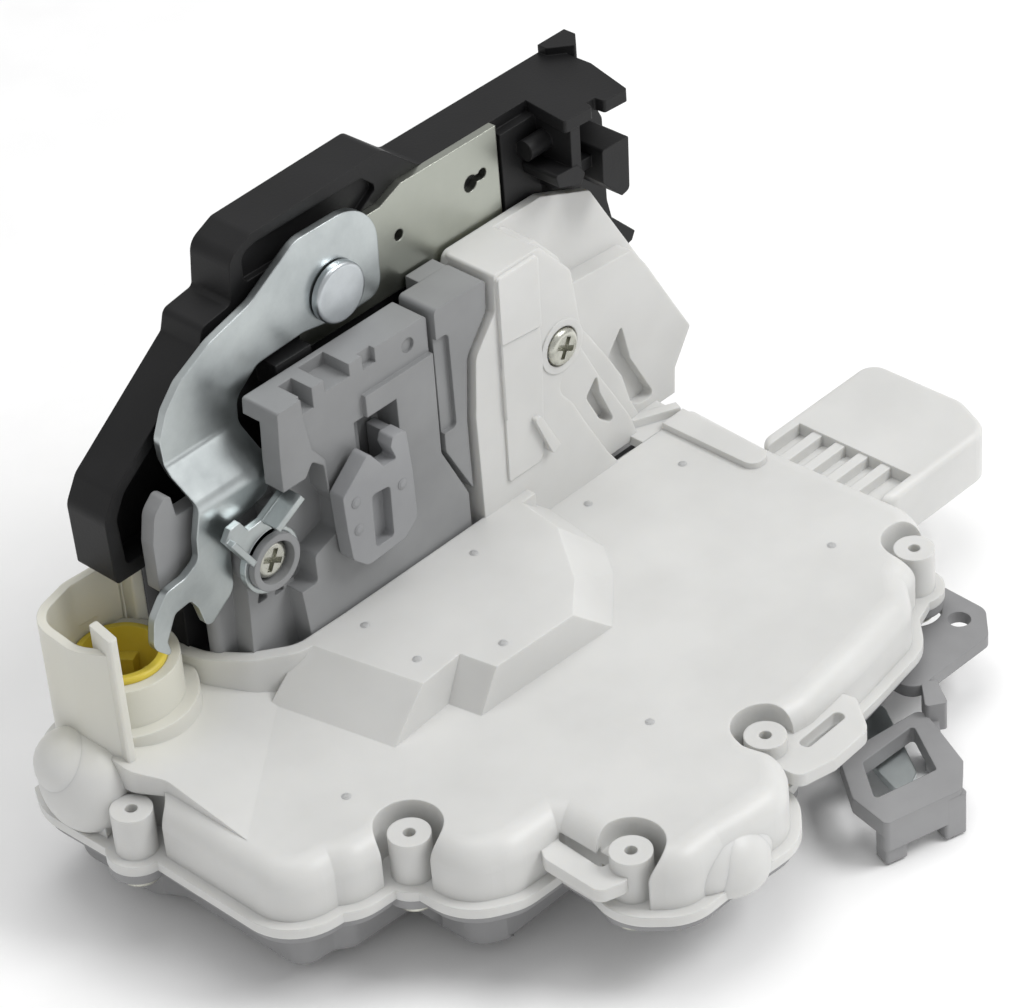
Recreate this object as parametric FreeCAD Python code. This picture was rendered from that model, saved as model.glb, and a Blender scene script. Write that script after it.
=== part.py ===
import FreeCAD, Part
import math
import os

os.makedirs("parts", exist_ok=True)

# Door latch actuator: a steel latch head with a flat plastic drive housing standing square to it.
# Frame: origin at the latched striker on the outer shut face, +Y out of that face,
# +Z the cover's outward side, +X along the unit. All lengths in millimetres.

V = FreeCAD.Vector

# Planes across the unit, along Z
MAIN_Z = -40.0
RAISED_Z = -33.0
SEAM_Z = -51.4
BASE_Z = -63.4
BOSS_TOP_Z = -41.8
TAB_TOP_Z = -44.4
TAB_T = 2.4
NECK_TOP_Z = -44.2
SOCKET_LOW_Z = -49.8
SOCKET_HIGH_Z = -44.0
RISER_TOP_Z = 10.8
HEAD_TOP_Z = 26.6
BULGE_TOP_Z = 32.2

# Planes through the latch head, along Y
SHUT_PLATE_T = 2.5
SHUT_RIM = 2.0
HOUSING_BACK_Y = -11.2
BACK_PLATE_T = 1.5
LEVER_T = 1.4
REAR_EDGE_Y = -24.6
REAR_WALL_Y = -1.2
HEAD_GAP_Y = -11.6
HEAD_SIDE_X = -56.0
RISER_BACK_Y = -13.4
RISER_FRONT_Y = -25.0
RISER_MIDDLE_Y = -21.8
RISER_SLOPE_Y = -18.2
RISER_SHEET_T = 1.6

# Moulded walls and edges
COVER_WALL = 2.2
EDGE_ROUND = 4.4
FLANGE_REACH = 6.2
FLANGE_T = 1.8
BASE_WALL = 2.2
TRAY_WALL = 1.6
TRAY_REACH = 0.4

# Clearances between separate pieces
RUNNING_GAP = 0.05
SLIDE_GAP = 0.06
HEAD_GAP = 0.3
LEVER_GAP = 0.3

# Fixings
BOSS_R = 3.4
BOSS_RELIEF_R = 5.4
PILOT_R = 1.0
SCREW_SHANK_R = 1.4
SCREW_HEAD_R = 3.3
SCREW_HEAD_H = 2.2
SHUT_THREAD_R = 3.4
NUT_R = 6.2

# Latch: striker slot, claw and pawl
SLOT_HALF = 6.2
SLOT_TOP_Z = 5.0
CLAW_PIVOT = (19.0, 0.0)
CLAW_R = 23.2
CLAW_FRONT_Y = -3.2
CLAW_BACK_Y = -8.2
THROAT_HALF = 4.9
CLAW_OPEN_TURN = 55.0
CLAW_SHAFT_R = 4.0
PAWL_PIVOT = (-19.7, 16.7)
PAWL_SHAFT_R = 3.5
RIVET_HEAD_R = 5.2
PAWL_RIDE_GAP = 0.4

# Return springs: coil radius, start of the coil in degrees and length of each leg
CLAW_SPRING = (6.4, 20.0, 7.0)
PAWL_SPRING = (5.4, 200.0, 5.0)
SPRING_SWEEP = 300.0
SPRING_WIRE_R = 0.5

# Lock coupling and its funnel
COUPLING = (-68.0, -9.8)
COUPLING_R = 7.5
COUPLING_TOP_Z = -26.6
CUP_R = 9.4
CUP_TOP_Z = -27.6
COLLAR_R = 11.6
COLLAR_TOP_Z = -34.8
FUNNEL_TOP_Z = -16.4
FUNNEL_WALL = 1.5
STAY_TOP_Z = -13.0
POST_TOP_Z = -18.0

# Locking drives: motor, worm and toothed wheel, one for locking and one for the safe lock
DRIVE_Z = -53.0
TOOTH_MODULE = 1.0
LOCK_TEETH = 30
SAFE_TEETH = 20
LOCK_WORM_Y = -35.0
LOCK_WHEEL_X = -30.0
SAFE_WORM_Y = -63.8
SAFE_WHEEL_X = 24.0
WHEEL_T = 3.0
WORM_PITCH_R = 3.4
WORM_ROOT_R = 2.2
WORM_TIP_R = 4.3
THREAD_W = 0.8
AXLE_R = 2.0
MOTOR_R = 7.4
MOTOR_SHAFT_R = 1.0
LOCK_MOTOR_X = (-17.0, 12.0)
SAFE_MOTOR_X = (-14.0, 13.0)

# Contact pins of the plug: two rows of square wire
PIN_ROWS_Z = (-48.6, -45.4)
PIN_FIRST_Y = -44.0
PIN_PITCH = 3.2
PINS_PER_ROW = 6
PIN_HALF = 0.35

# Release pieces in the bay
BAY_FLOOR_Z = -36.4
BLOCK_FRONT_Y = -24.0
BLOCK_BACK_Y = -16.3
BLOCK_TOP_Z = 9.9
RECESS_Y = -19.9
LINK_FRONT_Y = -27.4
LINK_BACK_Y = -24.4
STRIP_Y = -17.8
CARRIER_SCREW = (-45.5, -16.6)
CARRIER_BOSS_R = 4.9
LOCK_LEVER_T = 1.2
RISER_SCREW = (18.3, -10.1)

# Cable bracket under the front edge
BRACKET_TOP_Z = -54.6
BRACKET_T = 2.2
BRACKET_HOLE_R = 1.95
BRACKET_HOLE = (46.0, -84.8)
CAGE_TOP_Z = -57.0
CAGE_FOOT_Z = -66.0
CAGE_T = 3.0
CABLE_LEVER_PIVOT = (22.0, -80.0)
CABLE_LEVER_GAP = 0.6
CABLE_LEVER_T = 1.4
TRAY_BOTTOM_Z = -54.6
DEEP_FRONT_Y = -73.6


def place_z(z):
    return lambda u, v: V(u, v, z)


def place_y(y):
    return lambda u, v: V(u, y, v)


def place_x(x):
    return lambda u, v: V(x, u, v)


def rounded_wire(corners, place):
    # Closed outline through (u, v, radius) corners, each corner turned by a true arc.
    pts = [place(c[0], c[1]) for c in corners]
    count = len(pts)
    cuts = []
    for i in range(count):
        here = pts[i]
        back = pts[i - 1] - here
        ahead = pts[(i + 1) % count] - here
        radius = corners[i][2]
        angle = back.getAngle(ahead)
        if radius <= 0 or angle > math.pi - 0.02:
            cuts.append((here, None, here))
            continue
        reach = radius / math.tan(angle / 2)
        reach = min(reach, 0.48 * back.Length, 0.48 * ahead.Length)
        radius = reach * math.tan(angle / 2)
        start = here + V(back).normalize() * reach
        end = here + V(ahead).normalize() * reach
        inward = (V(back).normalize() + V(ahead).normalize()).normalize()
        centre = here + inward * (radius / math.sin(angle / 2))
        cuts.append((start, centre - inward * radius, end))
    edges = []
    for i in range(count):
        start, mid, end = cuts[i]
        if mid is not None:
            edges.append(Part.Arc(start, mid, end).toShape())
        following = cuts[(i + 1) % count][0]
        if (following - end).Length > 1e-6:
            edges.append(Part.makeLine(end, following))
    return Part.Wire(edges)


def slab_z(corners, z0, z1):
    face = Part.Face(rounded_wire(corners, place_z(z0)))
    return face.extrude(V(0, 0, z1 - z0))


def slab_y(corners, y0, y1):
    face = Part.Face(rounded_wire(corners, place_y(y0)))
    return face.extrude(V(0, y1 - y0, 0))


def slab_x(corners, x0, x1):
    face = Part.Face(rounded_wire(corners, place_x(x0)))
    return face.extrude(V(x1 - x0, 0, 0))


def grown_slab_z(corners, growth, z0, z1):
    wire = rounded_wire(corners, place_z(z0)).makeOffset2D(growth)
    return Part.Face(wire).extrude(V(0, 0, z1 - z0))


def rod_z(x, y, radius, z0, z1):
    return Part.makeCylinder(radius, abs(z1 - z0), V(x, y, min(z0, z1)), V(0, 0, 1))


def rod_y(x, z, radius, y0, y1):
    return Part.makeCylinder(radius, abs(y1 - y0), V(x, min(y0, y1), z), V(0, 1, 0))


def rod_x(y, z, radius, x0, x1):
    return Part.makeCylinder(radius, abs(x1 - x0), V(min(x0, x1), y, z), V(1, 0, 0))


def block(x0, x1, y0, y1, z0, z1):
    return Part.makeBox(x1 - x0, y1 - y0, z1 - z0, V(x0, y0, z0))


def joined(shapes):
    first = shapes[0]
    if len(shapes) > 1:
        first = first.multiFuse(shapes[1:])
    return first.removeSplitter()


def without(shape, cutters):
    return shape.cut(Part.makeCompound(cutters)) if len(cutters) > 1 else shape.cut(cutters[0])


def round_level_edges(shape, z, radius):
    # Rounds every edge lying flat at height z.
    edges = []
    for edge in shape.Edges:
        box = edge.BoundBox
        if abs(box.ZMin - z) < 1e-4 and abs(box.ZMax - z) < 1e-4:
            edges.append(edge)
    return shape.makeFillet(radius, edges)


def round_facing_edges(shape, y, radius):
    # Rounds every edge lying flat at depth y.
    edges = []
    for edge in shape.Edges:
        box = edge.BoundBox
        if abs(box.YMin - y) < 1e-4 and abs(box.YMax - y) < 1e-4:
            edges.append(edge)
    return shape.makeFillet(radius, edges)


def save(name, shape):
    solids = shape.Solids
    if len(solids) == 1:
        shape = solids[0]
    else:
        shape = Part.makeCompound(solids)
    shape.exportStep("parts/" + name + ".step")


# Cover plan: the crease where the flat top turns over into the rounded edge.
COVER_PLAN = [
    (-72.0, 4.0, 3), (-79.0, -8.0, 5), (-78.6, -22.5, 4), (-75.7, -27.5, 4), (-75.8, -53.4, 3.5),
    (-69.5, -54.2, 2), (-67.0, -56.2, 2), (-55.3, -57.0, 1.5), (-55.2, -70.8, 4),
    (-50.8, -73.4, 3), (-41.0, -73.8, 2), (-38.6, -77.0, 2), (-38.8, -87.0, 3),
    (-40.2, -91.4, 3), (-36.6, -95.6, 3), (-30.0, -95.6, 4), (-24.0, -96.6, 4), (-18.4, -97.0, 3),
    (-14.4, -93.4, 3), (-15.0, -88.4, 2), (-12.6, -86.0, 1), (-9.2, -84.7, 3), (1.4, -86.4, 3),
    (16.0, -84.9, 3), (29.1, -83.0, 3), (33.7, -78.3, 2.5), (40.4, -76.0, 3),
    (46.7, -71.0, 4), (45.8, -42.3, 4), (47.3, -16.0, 3), (-40.0, -14.0, 3), (-48.0, 4.0, 3),
]

# Plan of the bay behind the cover where the release levers work.
BAY_PLAN = [
    (75.0, REAR_EDGE_Y, 0), (75.0, 12.0, 0), (-56.0, 12.0, 0), (-56.0, -8.0, 2),
    (-54.6, -14.2, 4), (-50.6, -19.8, 5), (-44.5, -24.3, 6), (-34.0, REAR_EDGE_Y, 4),
]

# Raised field of the cover: corners of its top edge, each with the reach of the flank that follows.
FIELD_TOP = [
    (-43.4, REAR_EDGE_Y - 0.2, 9.5), (-39.0, -46.7, 0.6), (-30.1, -46.1, 5.0), (-28.9, -52.8, 0.4),
    (-12.0, -53.5, 6.6), (-5.0, -47.4, 9.0), (3.4, -36.0, 9.0), (5.0, REAR_EDGE_Y - 0.2, 0.0),
]

# Rounded swellings of the cover's side: x, y, z and radius.
BUBBLES = [(-82.4, -12.0, -38.4, 5.6), (-27.0, -96.6, -49.4, 7.4)]

# Screw bosses round the cover.
BOSSES = [(-81.4, -24.4), (-58.5, -61.7), (-40.5, -90.5), (-7.7, -89.0), (43.5, -77.5)]


def flank_foot():
    # Foot of the raised field: every edge of its top moved out by its own reach.
    lines = []
    for k, (x, y, reach) in enumerate(FIELD_TOP):
        after = FIELD_TOP[(k + 1) % len(FIELD_TOP)]
        dx, dy = after[0] - x, after[1] - y
        size = math.hypot(dx, dy)
        lines.append((x + dy / size * reach, y - dx / size * reach, dx / size, dy / size))
    foot = []
    for k, (x, y, dx, dy) in enumerate(lines):
        px, py, pdx, pdy = lines[k - 1]
        t = ((x - px) * dy - (y - py) * dx) / (pdx * dy - pdy * dx)
        foot.append(V(px + pdx * t, py + pdy * t, MAIN_Z - COVER_WALL * 0.5))
    return foot


def field():
    # Raised part of the cover's top with flat sloping sides.
    high = [V(x, y, RAISED_Z) for x, y, reach in FIELD_TOP]
    wires = [Part.makePolygon(ring + [ring[0]]) for ring in (flank_foot(), high)]
    return Part.makeLoft(wires, True, True)


def shoulder():
    # Shallow ramp lifting the cover towards the funnel.
    along = V(0.794, 0.607, 0)
    across = V(-0.607, 0.794, 0)
    start = V(-82.0, -49.5, MAIN_Z)
    rise = math.tan(math.radians(9.5))
    far = start + across * 40
    corners = [start + V(0, 0, -1.0), start, far + V(0, 0, 40 * rise), far + V(0, 0, -1.0)]
    wedge = Part.Face(Part.makePolygon(corners + [corners[0]])).extrude(along * 52)
    limit = grown_slab_z(COVER_PLAN, 0.8, MAIN_Z - 1.0, MAIN_Z + 12)
    return wedge.common(limit)


def funnel():
    # Tall half wall guiding the lock key bar, standing on a cup with a stepped collar.
    x, y = COUPLING
    plan = [
        (-58.6, -1.6, 2.5), (-70.0, -0.9, 5), (-79.6, -3.4, 7), (-80.6, -15.0, 7),
        (-76.9, -21.6, 1.5), (-74.6, -19.6, 1), (-62.0, -17.6, 6), (-57.8, -10.0, 4),
    ]
    outer = slab_z(plan, MAIN_Z - COVER_WALL, FUNNEL_TOP_Z)
    inner = grown_slab_z(plan, -FUNNEL_WALL, CUP_TOP_Z - 1.4, FUNNEL_TOP_Z + 1)
    opening = slab_z([
        (-76.6, -30.0, 0), (-76.6, -17.6, 0), (-71.0, -13.0, 0), (-60.6, -5.6, 0), (-57.0, -5.6, 0),
        (-40.0, -6.0, 0), (-40.0, -30.0, 0)], CUP_TOP_Z, FUNNEL_TOP_Z + 1)
    front = slab_z([
        (-76.8, -30.0, 0), (-76.8, -16.6, 0), (-60.0, -2.0, 0), (-40.0, -2.0, 0), (-40.0, -30.0, 0)],
        MAIN_Z - 3.0, FUNNEL_TOP_Z + 1)
    wall = outer.cut(inner).cut(opening).cut(front)
    cup = rod_z(x, y, CUP_R, MAIN_Z - COVER_WALL, CUP_TOP_Z)
    collar = rod_z(x, y, COLLAR_R, MAIN_Z - COVER_WALL, COLLAR_TOP_Z)
    stay = slab_z([
        (-78.2, -21.4, 0.4), (-76.6, -21.4, 0.4), (-75.6, -15.6, 0.4), (-77.2, -15.6, 0.4)],
        MAIN_Z - 1, STAY_TOP_Z)
    post = slab_z([
        (-60.2, -2.4, 0.5), (-60.2, -5.4, 0.5), (-58.0, -5.6, 0.5), (-57.6, -2.4, 0.5)],
        MAIN_Z - 1, POST_TOP_Z)
    return [wall, cup, collar, stay, post]


def riser():
    # Upright box carrying the cover up behind the latch head, stepped back in layers.
    foot_z = MAIN_Z - 1
    top = RISER_TOP_Z
    behind = RISER_BACK_Y - 1
    back = slab_y([
        (-1.0, foot_z, 0), (-1.6, -10.0, 2), (4.6, top, 1.5), (26.0, top, 2), (37.4, 6.3, 1.5),
        (39.7, 2.3, 2), (49.7, -14.8, 3), (60.2, -32.7, 0.8), (55.9, -39.1, 2), (55.2, foot_z, 0)],
        RISER_BACK_Y - RISER_SHEET_T, RISER_BACK_Y)
    slope = slab_y([
        (18.0, foot_z, 0), (18.0, -5.4, 2), (26.3, -5.9, 1), (43.4, -7.2, 2), (46.4, -11.5, 2),
        (56.6, -29.4, 1), (52.4, -35.8, 2), (52.0, foot_z, 0)], RISER_SLOPE_Y, behind)
    ledge = slab_y([
        (18.0, foot_z, 0), (18.0, -4.0, 2), (23.0, -6.6, 2), (26.2, -11.3, 1), (29.5, -15.8, 1),
        (34.5, -23.8, 2), (37.2, -28.6, 2), (38.8, -34.4, 2), (42.0, foot_z, 0)],
        RISER_SLOPE_Y - 1.8, behind)
    middle = slab_y([
        (0.0, foot_z, 0), (0.0, -5.0, 2), (4.4, 4.0, 2), (4.4, top - 1, 1), (17.0, top - 1, 1),
        (22.4, 3.6, 3), (24.2, -8.0, 3), (25.6, -15.0, 2), (29.8, -23.6, 1), (32.8, -28.8, 1),
        (37.0, -36.4, 2), (38.4, foot_z, 0)], RISER_MIDDLE_Y, behind)
    front = slab_y([
        (-2.0, foot_z, 0), (-2.1, -13.0, 4), (-1.0, -2.0, 3), (3.9, 4.0, 1.5), (4.4, top, 0.5),
        (14.8, top, 1), (21.6, 3.0, 3), (23.0, -8.9, 2), (20.6, -13.6, 3), (16.2, -17.6, 3),
        (19.9, -22.2, 3), (22.4, -27.2, 3), (27.4, -36.4, 3), (30.6, foot_z, 0)], RISER_FRONT_Y, behind)
    panel = slab_y([
        (3.8, -30.0, 0.6), (4.5, 10.2, 0.6), (13.7, 10.2, 0.6), (13.4, -3.2, 0.6), (4.4, -2.2, 0)],
        RISER_FRONT_Y - 0.8, behind)
    strip = slab_y([
        (3.8, -29.0, 0.6), (4.4, -2.4, 0), (13.4, -3.4, 0), (13.4, -10.0, 1), (12.0, -29.0, 2)],
        RISER_FRONT_Y - 0.4, behind)
    seat = rod_y(RISER_SCREW[0], RISER_SCREW[1], 4.9, RISER_FRONT_Y - 0.2, behind)
    fin = slab_y([
        (9.6, -19.4, 0.5), (11.2, -19.6, 0.5), (15.2, -27.4, 0.5), (13.4, -28.4, 0.5)],
        RISER_FRONT_Y - 1.4, behind)
    return [back, slope, ledge, middle, front, panel, strip, seat, fin]


def riser_hollow():
    # Space behind the riser's front wall, and two triangles sunk into its steps.
    inner = slab_y([
        (0.6, MAIN_Z + 6, 1), (0.4, -13.0, 2), (1.6, -1.4, 2), (6.4, 8.0, 1), (12.6, 8.0, 1),
        (13.2, -14.0, 2), (17.6, -24.0, 2), (24.0, MAIN_Z + 6, 1)], RISER_FRONT_Y + 2.0, RISER_BACK_Y + 1)
    outer_sink = slab_y([
        (39.7, -20.4, 0.4), (41.4, -28.0, 1), (47.0, -38.6, 1), (43.0, -38.4, 2), (37.0, -34.0, 1),
        (35.6, -25.4, 1)],
        RISER_SLOPE_Y - 1, RISER_SLOPE_Y + 2.2)
    inner_sink = slab_y([
        (29.3, -23.2, 0.4), (29.8, -27.0, 1), (33.4, -35.6, 1), (29.4, -32.4, 2), (26.4, -26.4, 1)],
        RISER_MIDDLE_Y - 1, RISER_MIDDLE_Y + 2.6)
    return [inner, outer_sink, inner_sink]


def connector():
    # Plug shroud with its waisted, ribbed neck.
    shell = slab_z([
        (50.5, -38.0, 3), (81.2, -38.0, 3.5), (81.4, -58.0, 5), (77.6, -66.4, 5), (50.5, -66.2, 3)],
        SEAM_Z, BOSS_TOP_Z)
    shell = round_level_edges(shell, BOSS_TOP_Z, 1.2)
    neck_cut = block(50.0, 59.0, -64.6, -40.4, NECK_TOP_Z, BOSS_TOP_Z + 1)
    shell = shell.cut(neck_cut)
    neck = block(44.0, 60.0, -63.0, -40.5, SEAM_Z + 1, NECK_TOP_Z)
    ribs = []
    for y in (-44.4, -49.4, -54.4, -59.3):
        ribs.append(block(46.0, 60.0, y - 1.0, y + 1.0, NECK_TOP_Z - 0.2, BOSS_TOP_Z - 0.4))
    return [shell, neck] + ribs


def connector_hollow():
    # Socket of the plug, open at the unit's end.
    socket = slab_z([
        (60.5, -40.4, 1.5), (90.0, -40.4, 0), (90.0, -63.8, 0), (60.5, -63.8, 1.5)],
        SOCKET_LOW_Z, SOCKET_HIGH_Z)
    return [socket]


def eyelets():
    # Two slotted tabs standing off the front edge.
    z0 = TAB_TOP_Z - TAB_T
    first = slab_z([
        (-36.0, -74.0, 0), (-44.4, -74.0, 2), (-48.0, -79.6, 2), (-48.4, -91.0, 2),
        (-44.0, -92.6, 2), (-36.0, -88.0, 0)], z0, TAB_TOP_Z)
    slot = slab_z([
        (-41.4, -77.8, 1.0), (-43.6, -78.2, 1.0), (-44.2, -87.8, 1.0), (-41.6, -87.8, 1.0)],
        z0 - 2, TAB_TOP_Z + 1)
    second = slab_z([
        (-6.0, -84.0, 0), (9.0, -84.0, 0), (10.3, -92.4, 1.5), (5.6, -98.6, 3),
        (-3.0, -99.0, 2), (-9.8, -97.4, 2), (-10.0, -92.0, 2)], z0, TAB_TOP_Z)
    slit = slab_z([
        (-3.8, -92.0, 1.0), (6.0, -91.8, 1.0), (6.0, -94.0, 1.0), (-3.8, -94.2, 1.0)],
        z0 - 2, TAB_TOP_Z + 1)
    return [first, second], [slot, slit]


def boss_reliefs(radius, z0, z1):
    # Round pockets that leave every screw boss standing free of the side wall.
    return [rod_z(x, y, radius, z0, z1) for x, y in BOSSES]


def cover_shell():
    # Flat top with rounded edge, seam flange, raised field and the cut-away bay.
    body = grown_slab_z(COVER_PLAN, EDGE_ROUND, SEAM_Z, MAIN_Z)
    body = round_level_edges(body, MAIN_Z, EDGE_ROUND - 0.1)
    body = without(body, boss_reliefs(BOSS_RELIEF_R, SEAM_Z - 1, MAIN_Z + 1))
    flange = grown_slab_z(COVER_PLAN, FLANGE_REACH, SEAM_Z, SEAM_Z + FLANGE_T)
    lip = slab_z([(41.6, -24.0, 0), (47.0, -24.0, 0), (46.2, -45.0, 2), (41.6, -45.0, 2)],
                 MAIN_Z - 1, MAIN_Z + 1.2)
    bay = slab_z(BAY_PLAN, SEAM_Z - 5, 40)
    shape = joined([body, flange, field(), shoulder(), lip])
    rim = grown_slab_z(BAY_PLAN, COVER_WALL, MAIN_Z - 1, RAISED_Z)
    rim = rim.common(block(-58, 8, -30, -6, -60, 0)).cut(bay)
    return joined([without(shape, [bay, block(-100, -50, REAR_WALL_Y, 30, -80, 40)]), rim])


def cover_hollow():
    # Inside of the shell, less the walls round bay, rear and screw bosses.
    hollow = grown_slab_z(COVER_PLAN, EDGE_ROUND - COVER_WALL, SEAM_Z - 1, MAIN_Z - COVER_WALL)
    bay_wall = grown_slab_z(BAY_PLAN, COVER_WALL, SEAM_Z - 5, 40)
    rear_wall = block(-100, -50, REAR_WALL_Y - COVER_WALL, 30, -80, 40)
    walls = boss_reliefs(BOSS_RELIEF_R + COVER_WALL - 0.6, SEAM_Z - 2, MAIN_Z)
    return without(hollow, [bay_wall, rear_wall] + walls)


def top_cover():
    # White half of the drive housing with everything moulded to it.
    tabs, slots = eyelets()
    adds = funnel() + riser() + connector() + tabs
    for x, y in BOSSES:
        adds.append(rod_z(x, y, BOSS_R, SEAM_Z, BOSS_TOP_Z))
        adds.append(rod_z(x, y, BOSS_R + 1.6, SEAM_Z, SEAM_Z + FLANGE_T))
    for x, y, z, radius in BUBBLES:
        ball = Part.makeSphere(radius, V(x, y, z))
        adds.append(ball.common(block(x - 20, x + 20, y - 20, min(y + 20, REAR_WALL_Y), SEAM_Z, 0)))
    shape = joined([cover_shell()] + adds)
    cutters = [cover_hollow()] + riser_hollow() + connector_hollow() + slots
    x, y = COUPLING
    cutters.append(rod_z(x, y, COUPLING_R + RUNNING_GAP, SEAM_Z - 2, CUP_TOP_Z + 3))
    for x, y in BOSSES:
        cutters.append(rod_z(x, y, PILOT_R, BOSS_TOP_Z - 2.5, BOSS_TOP_Z + 1))
        cutters.append(rod_z(x, y, SCREW_SHANK_R, SEAM_Z - 1, BOSS_TOP_Z - 2.9))
    shape = without(shape, cutters)
    x, z = RISER_SCREW
    column = rod_y(x, z, BOSS_R, RISER_FRONT_Y, RISER_BACK_Y)
    bores = [connector_pins(), rod_y(x, z, SCREW_SHANK_R, RISER_FRONT_Y - 2, RISER_BACK_Y + 2)]
    bores.append(rod_y(x, z, SCREW_HEAD_R + HEAD_GAP, RISER_FRONT_Y - 2, RISER_FRONT_Y + 1.2))
    return without(joined([shape, column]), bores)


def rear_limit(inset):
    # Space taken by the latch head behind the drive housing.
    behind = block(-100, 100, REAR_WALL_Y - inset, 30, -80, 40)
    beside = block(HEAD_SIDE_X - inset, 100, HEAD_GAP_Y - inset, 30, -80, 40)
    return behind.fuse(beside)


def base_plan_slab(growth, z0, z1):
    return grown_slab_z(COVER_PLAN, growth, z0, z1)


def base_housing():
    # Grey tray closing the drive housing: deep at the back, shallow under the front lobe.
    deep_limit = block(-100, 100, DEEP_FRONT_Y, 30, -80, -40)
    deep = base_plan_slab(TRAY_REACH, BASE_Z, SEAM_Z).common(deep_limit)
    deep = round_level_edges(deep, BASE_Z, 2.4)
    shallow = base_plan_slab(TRAY_REACH, TRAY_BOTTOM_Z, SEAM_Z)
    flange = base_plan_slab(FLANGE_REACH - 1.0, SEAM_Z - FLANGE_T, SEAM_Z)
    adds = [shallow, flange]
    for x, y in BOSSES:
        adds.append(rod_z(x, y, BOSS_R + 1.4, SEAM_Z - FLANGE_T, SEAM_Z))
    pin_x, pin_y = CABLE_LEVER_PIVOT
    adds.append(rod_z(pin_x, pin_y, 4.2, TRAY_BOTTOM_Z - 5.4, TRAY_BOTTOM_Z + 1))
    shape = joined([deep] + adds)
    inner_limit = block(-100, 100, DEEP_FRONT_Y + BASE_WALL, 30, -80, -40)
    inner_deep = base_plan_slab(TRAY_REACH - BASE_WALL, BASE_Z + BASE_WALL, SEAM_Z + 1)
    inner_deep = inner_deep.common(inner_limit).cut(rear_limit(BASE_WALL))
    inner_shallow = base_plan_slab(TRAY_REACH - BASE_WALL, TRAY_BOTTOM_Z + TRAY_WALL, SEAM_Z + 1)
    inner_shallow = inner_shallow.cut(rear_limit(BASE_WALL))
    cutters = [rear_limit(0.0), inner_deep, inner_shallow, housing_seal()]
    for x, y in BOSSES:
        cutters.append(rod_z(x, y, SCREW_SHANK_R + 0.2, SEAM_Z - 5, SEAM_Z + 1))
        cutters.append(rod_z(x, y, SCREW_HEAD_R + HEAD_GAP, BASE_Z - 1, SEAM_Z - FLANGE_T))
    cutters.append(rod_z(pin_x, pin_y, AXLE_R, TRAY_BOTTOM_Z - 6, TRAY_BOTTOM_Z + 0.6))
    shape = without(shape, cutters)
    pillars = []
    for x, y in drive_axles():
        post = rod_z(x, y, 3.4, BASE_Z + 1, BASE_Z + 4.6)
        pillars.append(post.cut(rod_z(x, y, AXLE_R, BASE_Z + BASE_WALL, BASE_Z + 5)))
    for x0, x1, y in motor_beds():
        cradle = block(x0 + 3, x0 + 5, y - 6, y + 6, BASE_Z + 1, DRIVE_Z - 2)
        second = block(x1 - 5, x1 - 3, y - 6, y + 6, BASE_Z + 1, DRIVE_Z - 2)
        pillars.append(cradle.fuse(second).cut(rod_x(y, DRIVE_Z, MOTOR_R, x0, x1)))
    return joined([shape] + pillars)


def housing_seal():
    # Rubber gasket in the tray rim, widened to an eyelet at every screw.
    outer = base_plan_slab(3.6, SEAM_Z - 1.0, SEAM_Z)
    inner = base_plan_slab(2.4, SEAM_Z - 1.5, SEAM_Z + 1)
    band = outer.cut(inner).cut(rear_limit(1.0))
    eyes = [rod_z(x, y, BOSS_R, SEAM_Z - 1.0, SEAM_Z) for x, y in BOSSES]
    holes = [rod_z(x, y, SCREW_SHANK_R + 0.6, SEAM_Z - 2, SEAM_Z + 1) for x, y in BOSSES]
    return without(joined([band] + eyes), holes)


def housing_screws():
    # Self-tapping screws driven up through the tray into the cover's bosses.
    screws = []
    for x, y in BOSSES:
        top = SEAM_Z - FLANGE_T
        head = rod_z(x, y, SCREW_HEAD_R, top - SCREW_HEAD_H, top)
        head = round_level_edges(head, top - SCREW_HEAD_H, 0.6)
        recess = star_recess(x, y, top - SCREW_HEAD_H - 0.5, top - SCREW_HEAD_H + 1.3)
        shank = rod_z(x, y, SCREW_SHANK_R, top, BOSS_TOP_Z - 3.4)
        screws.append(head.fuse(shank).removeSplitter().cut(recess))
    return Part.makeCompound(screws)


def star_recess(x, y, z0, z1):
    # Six-lobed drive hole.
    lobes = [rod_z(x, y, 1.05, z0, z1)]
    for k in range(6):
        a = math.radians(60 * k)
        lobes.append(rod_z(x + 1.05 * math.cos(a), y + 1.05 * math.sin(a), 0.35, z0, z1))
    return joined(lobes)


def cross_screw(x, z, head_y, tip_y):
    # Pan-head screw facing -Y with a cross recess.
    head = rod_y(x, z, SCREW_HEAD_R, head_y, head_y + SCREW_HEAD_H)
    head = round_facing_edges(head, head_y, 1.0)
    shank = rod_y(x, z, SCREW_SHANK_R, head_y + SCREW_HEAD_H, tip_y)
    bar = block(x - 2.0, x + 2.0, head_y - 1, head_y + 1.3, z - 0.5, z + 0.5)
    cross = bar.copy()
    cross.rotate(V(x, 0, z), V(0, 1, 0), 90)
    recess = bar.fuse(cross)
    recess.rotate(V(x, 0, z), V(0, 1, 0), 28)
    return head.fuse(shank).removeSplitter().cut(recess)


# Outline of the black latch housing seen along the shut face normal.
HOUSING_PLAN = [
    (-67.6, -13.4, 1), (-67.9, -1.5, 3), (-65.4, 2.8, 3), (-45.2, 18.0, 1),
    (-44.2, 21.4, 1.5), (-38.0, 22.4, 1), (-37.2, 30.0, 3), (-32.4, BULGE_TOP_Z, 2),
    (-4.0, BULGE_TOP_Z + 0.8, 2), (3.4, HEAD_TOP_Z, 2), (43.2, HEAD_TOP_Z, 1), (43.4, 19.0, 2),
    (45.4, 15.0, 2), (45.4, -1.0, 3), (47.0, -8.0, 3), (53.0, -18.7, 4), (57.0, -40.0, 4),
    (-55.6, -40.0, 2), (-55.6, -13.4, 1),
]

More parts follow.
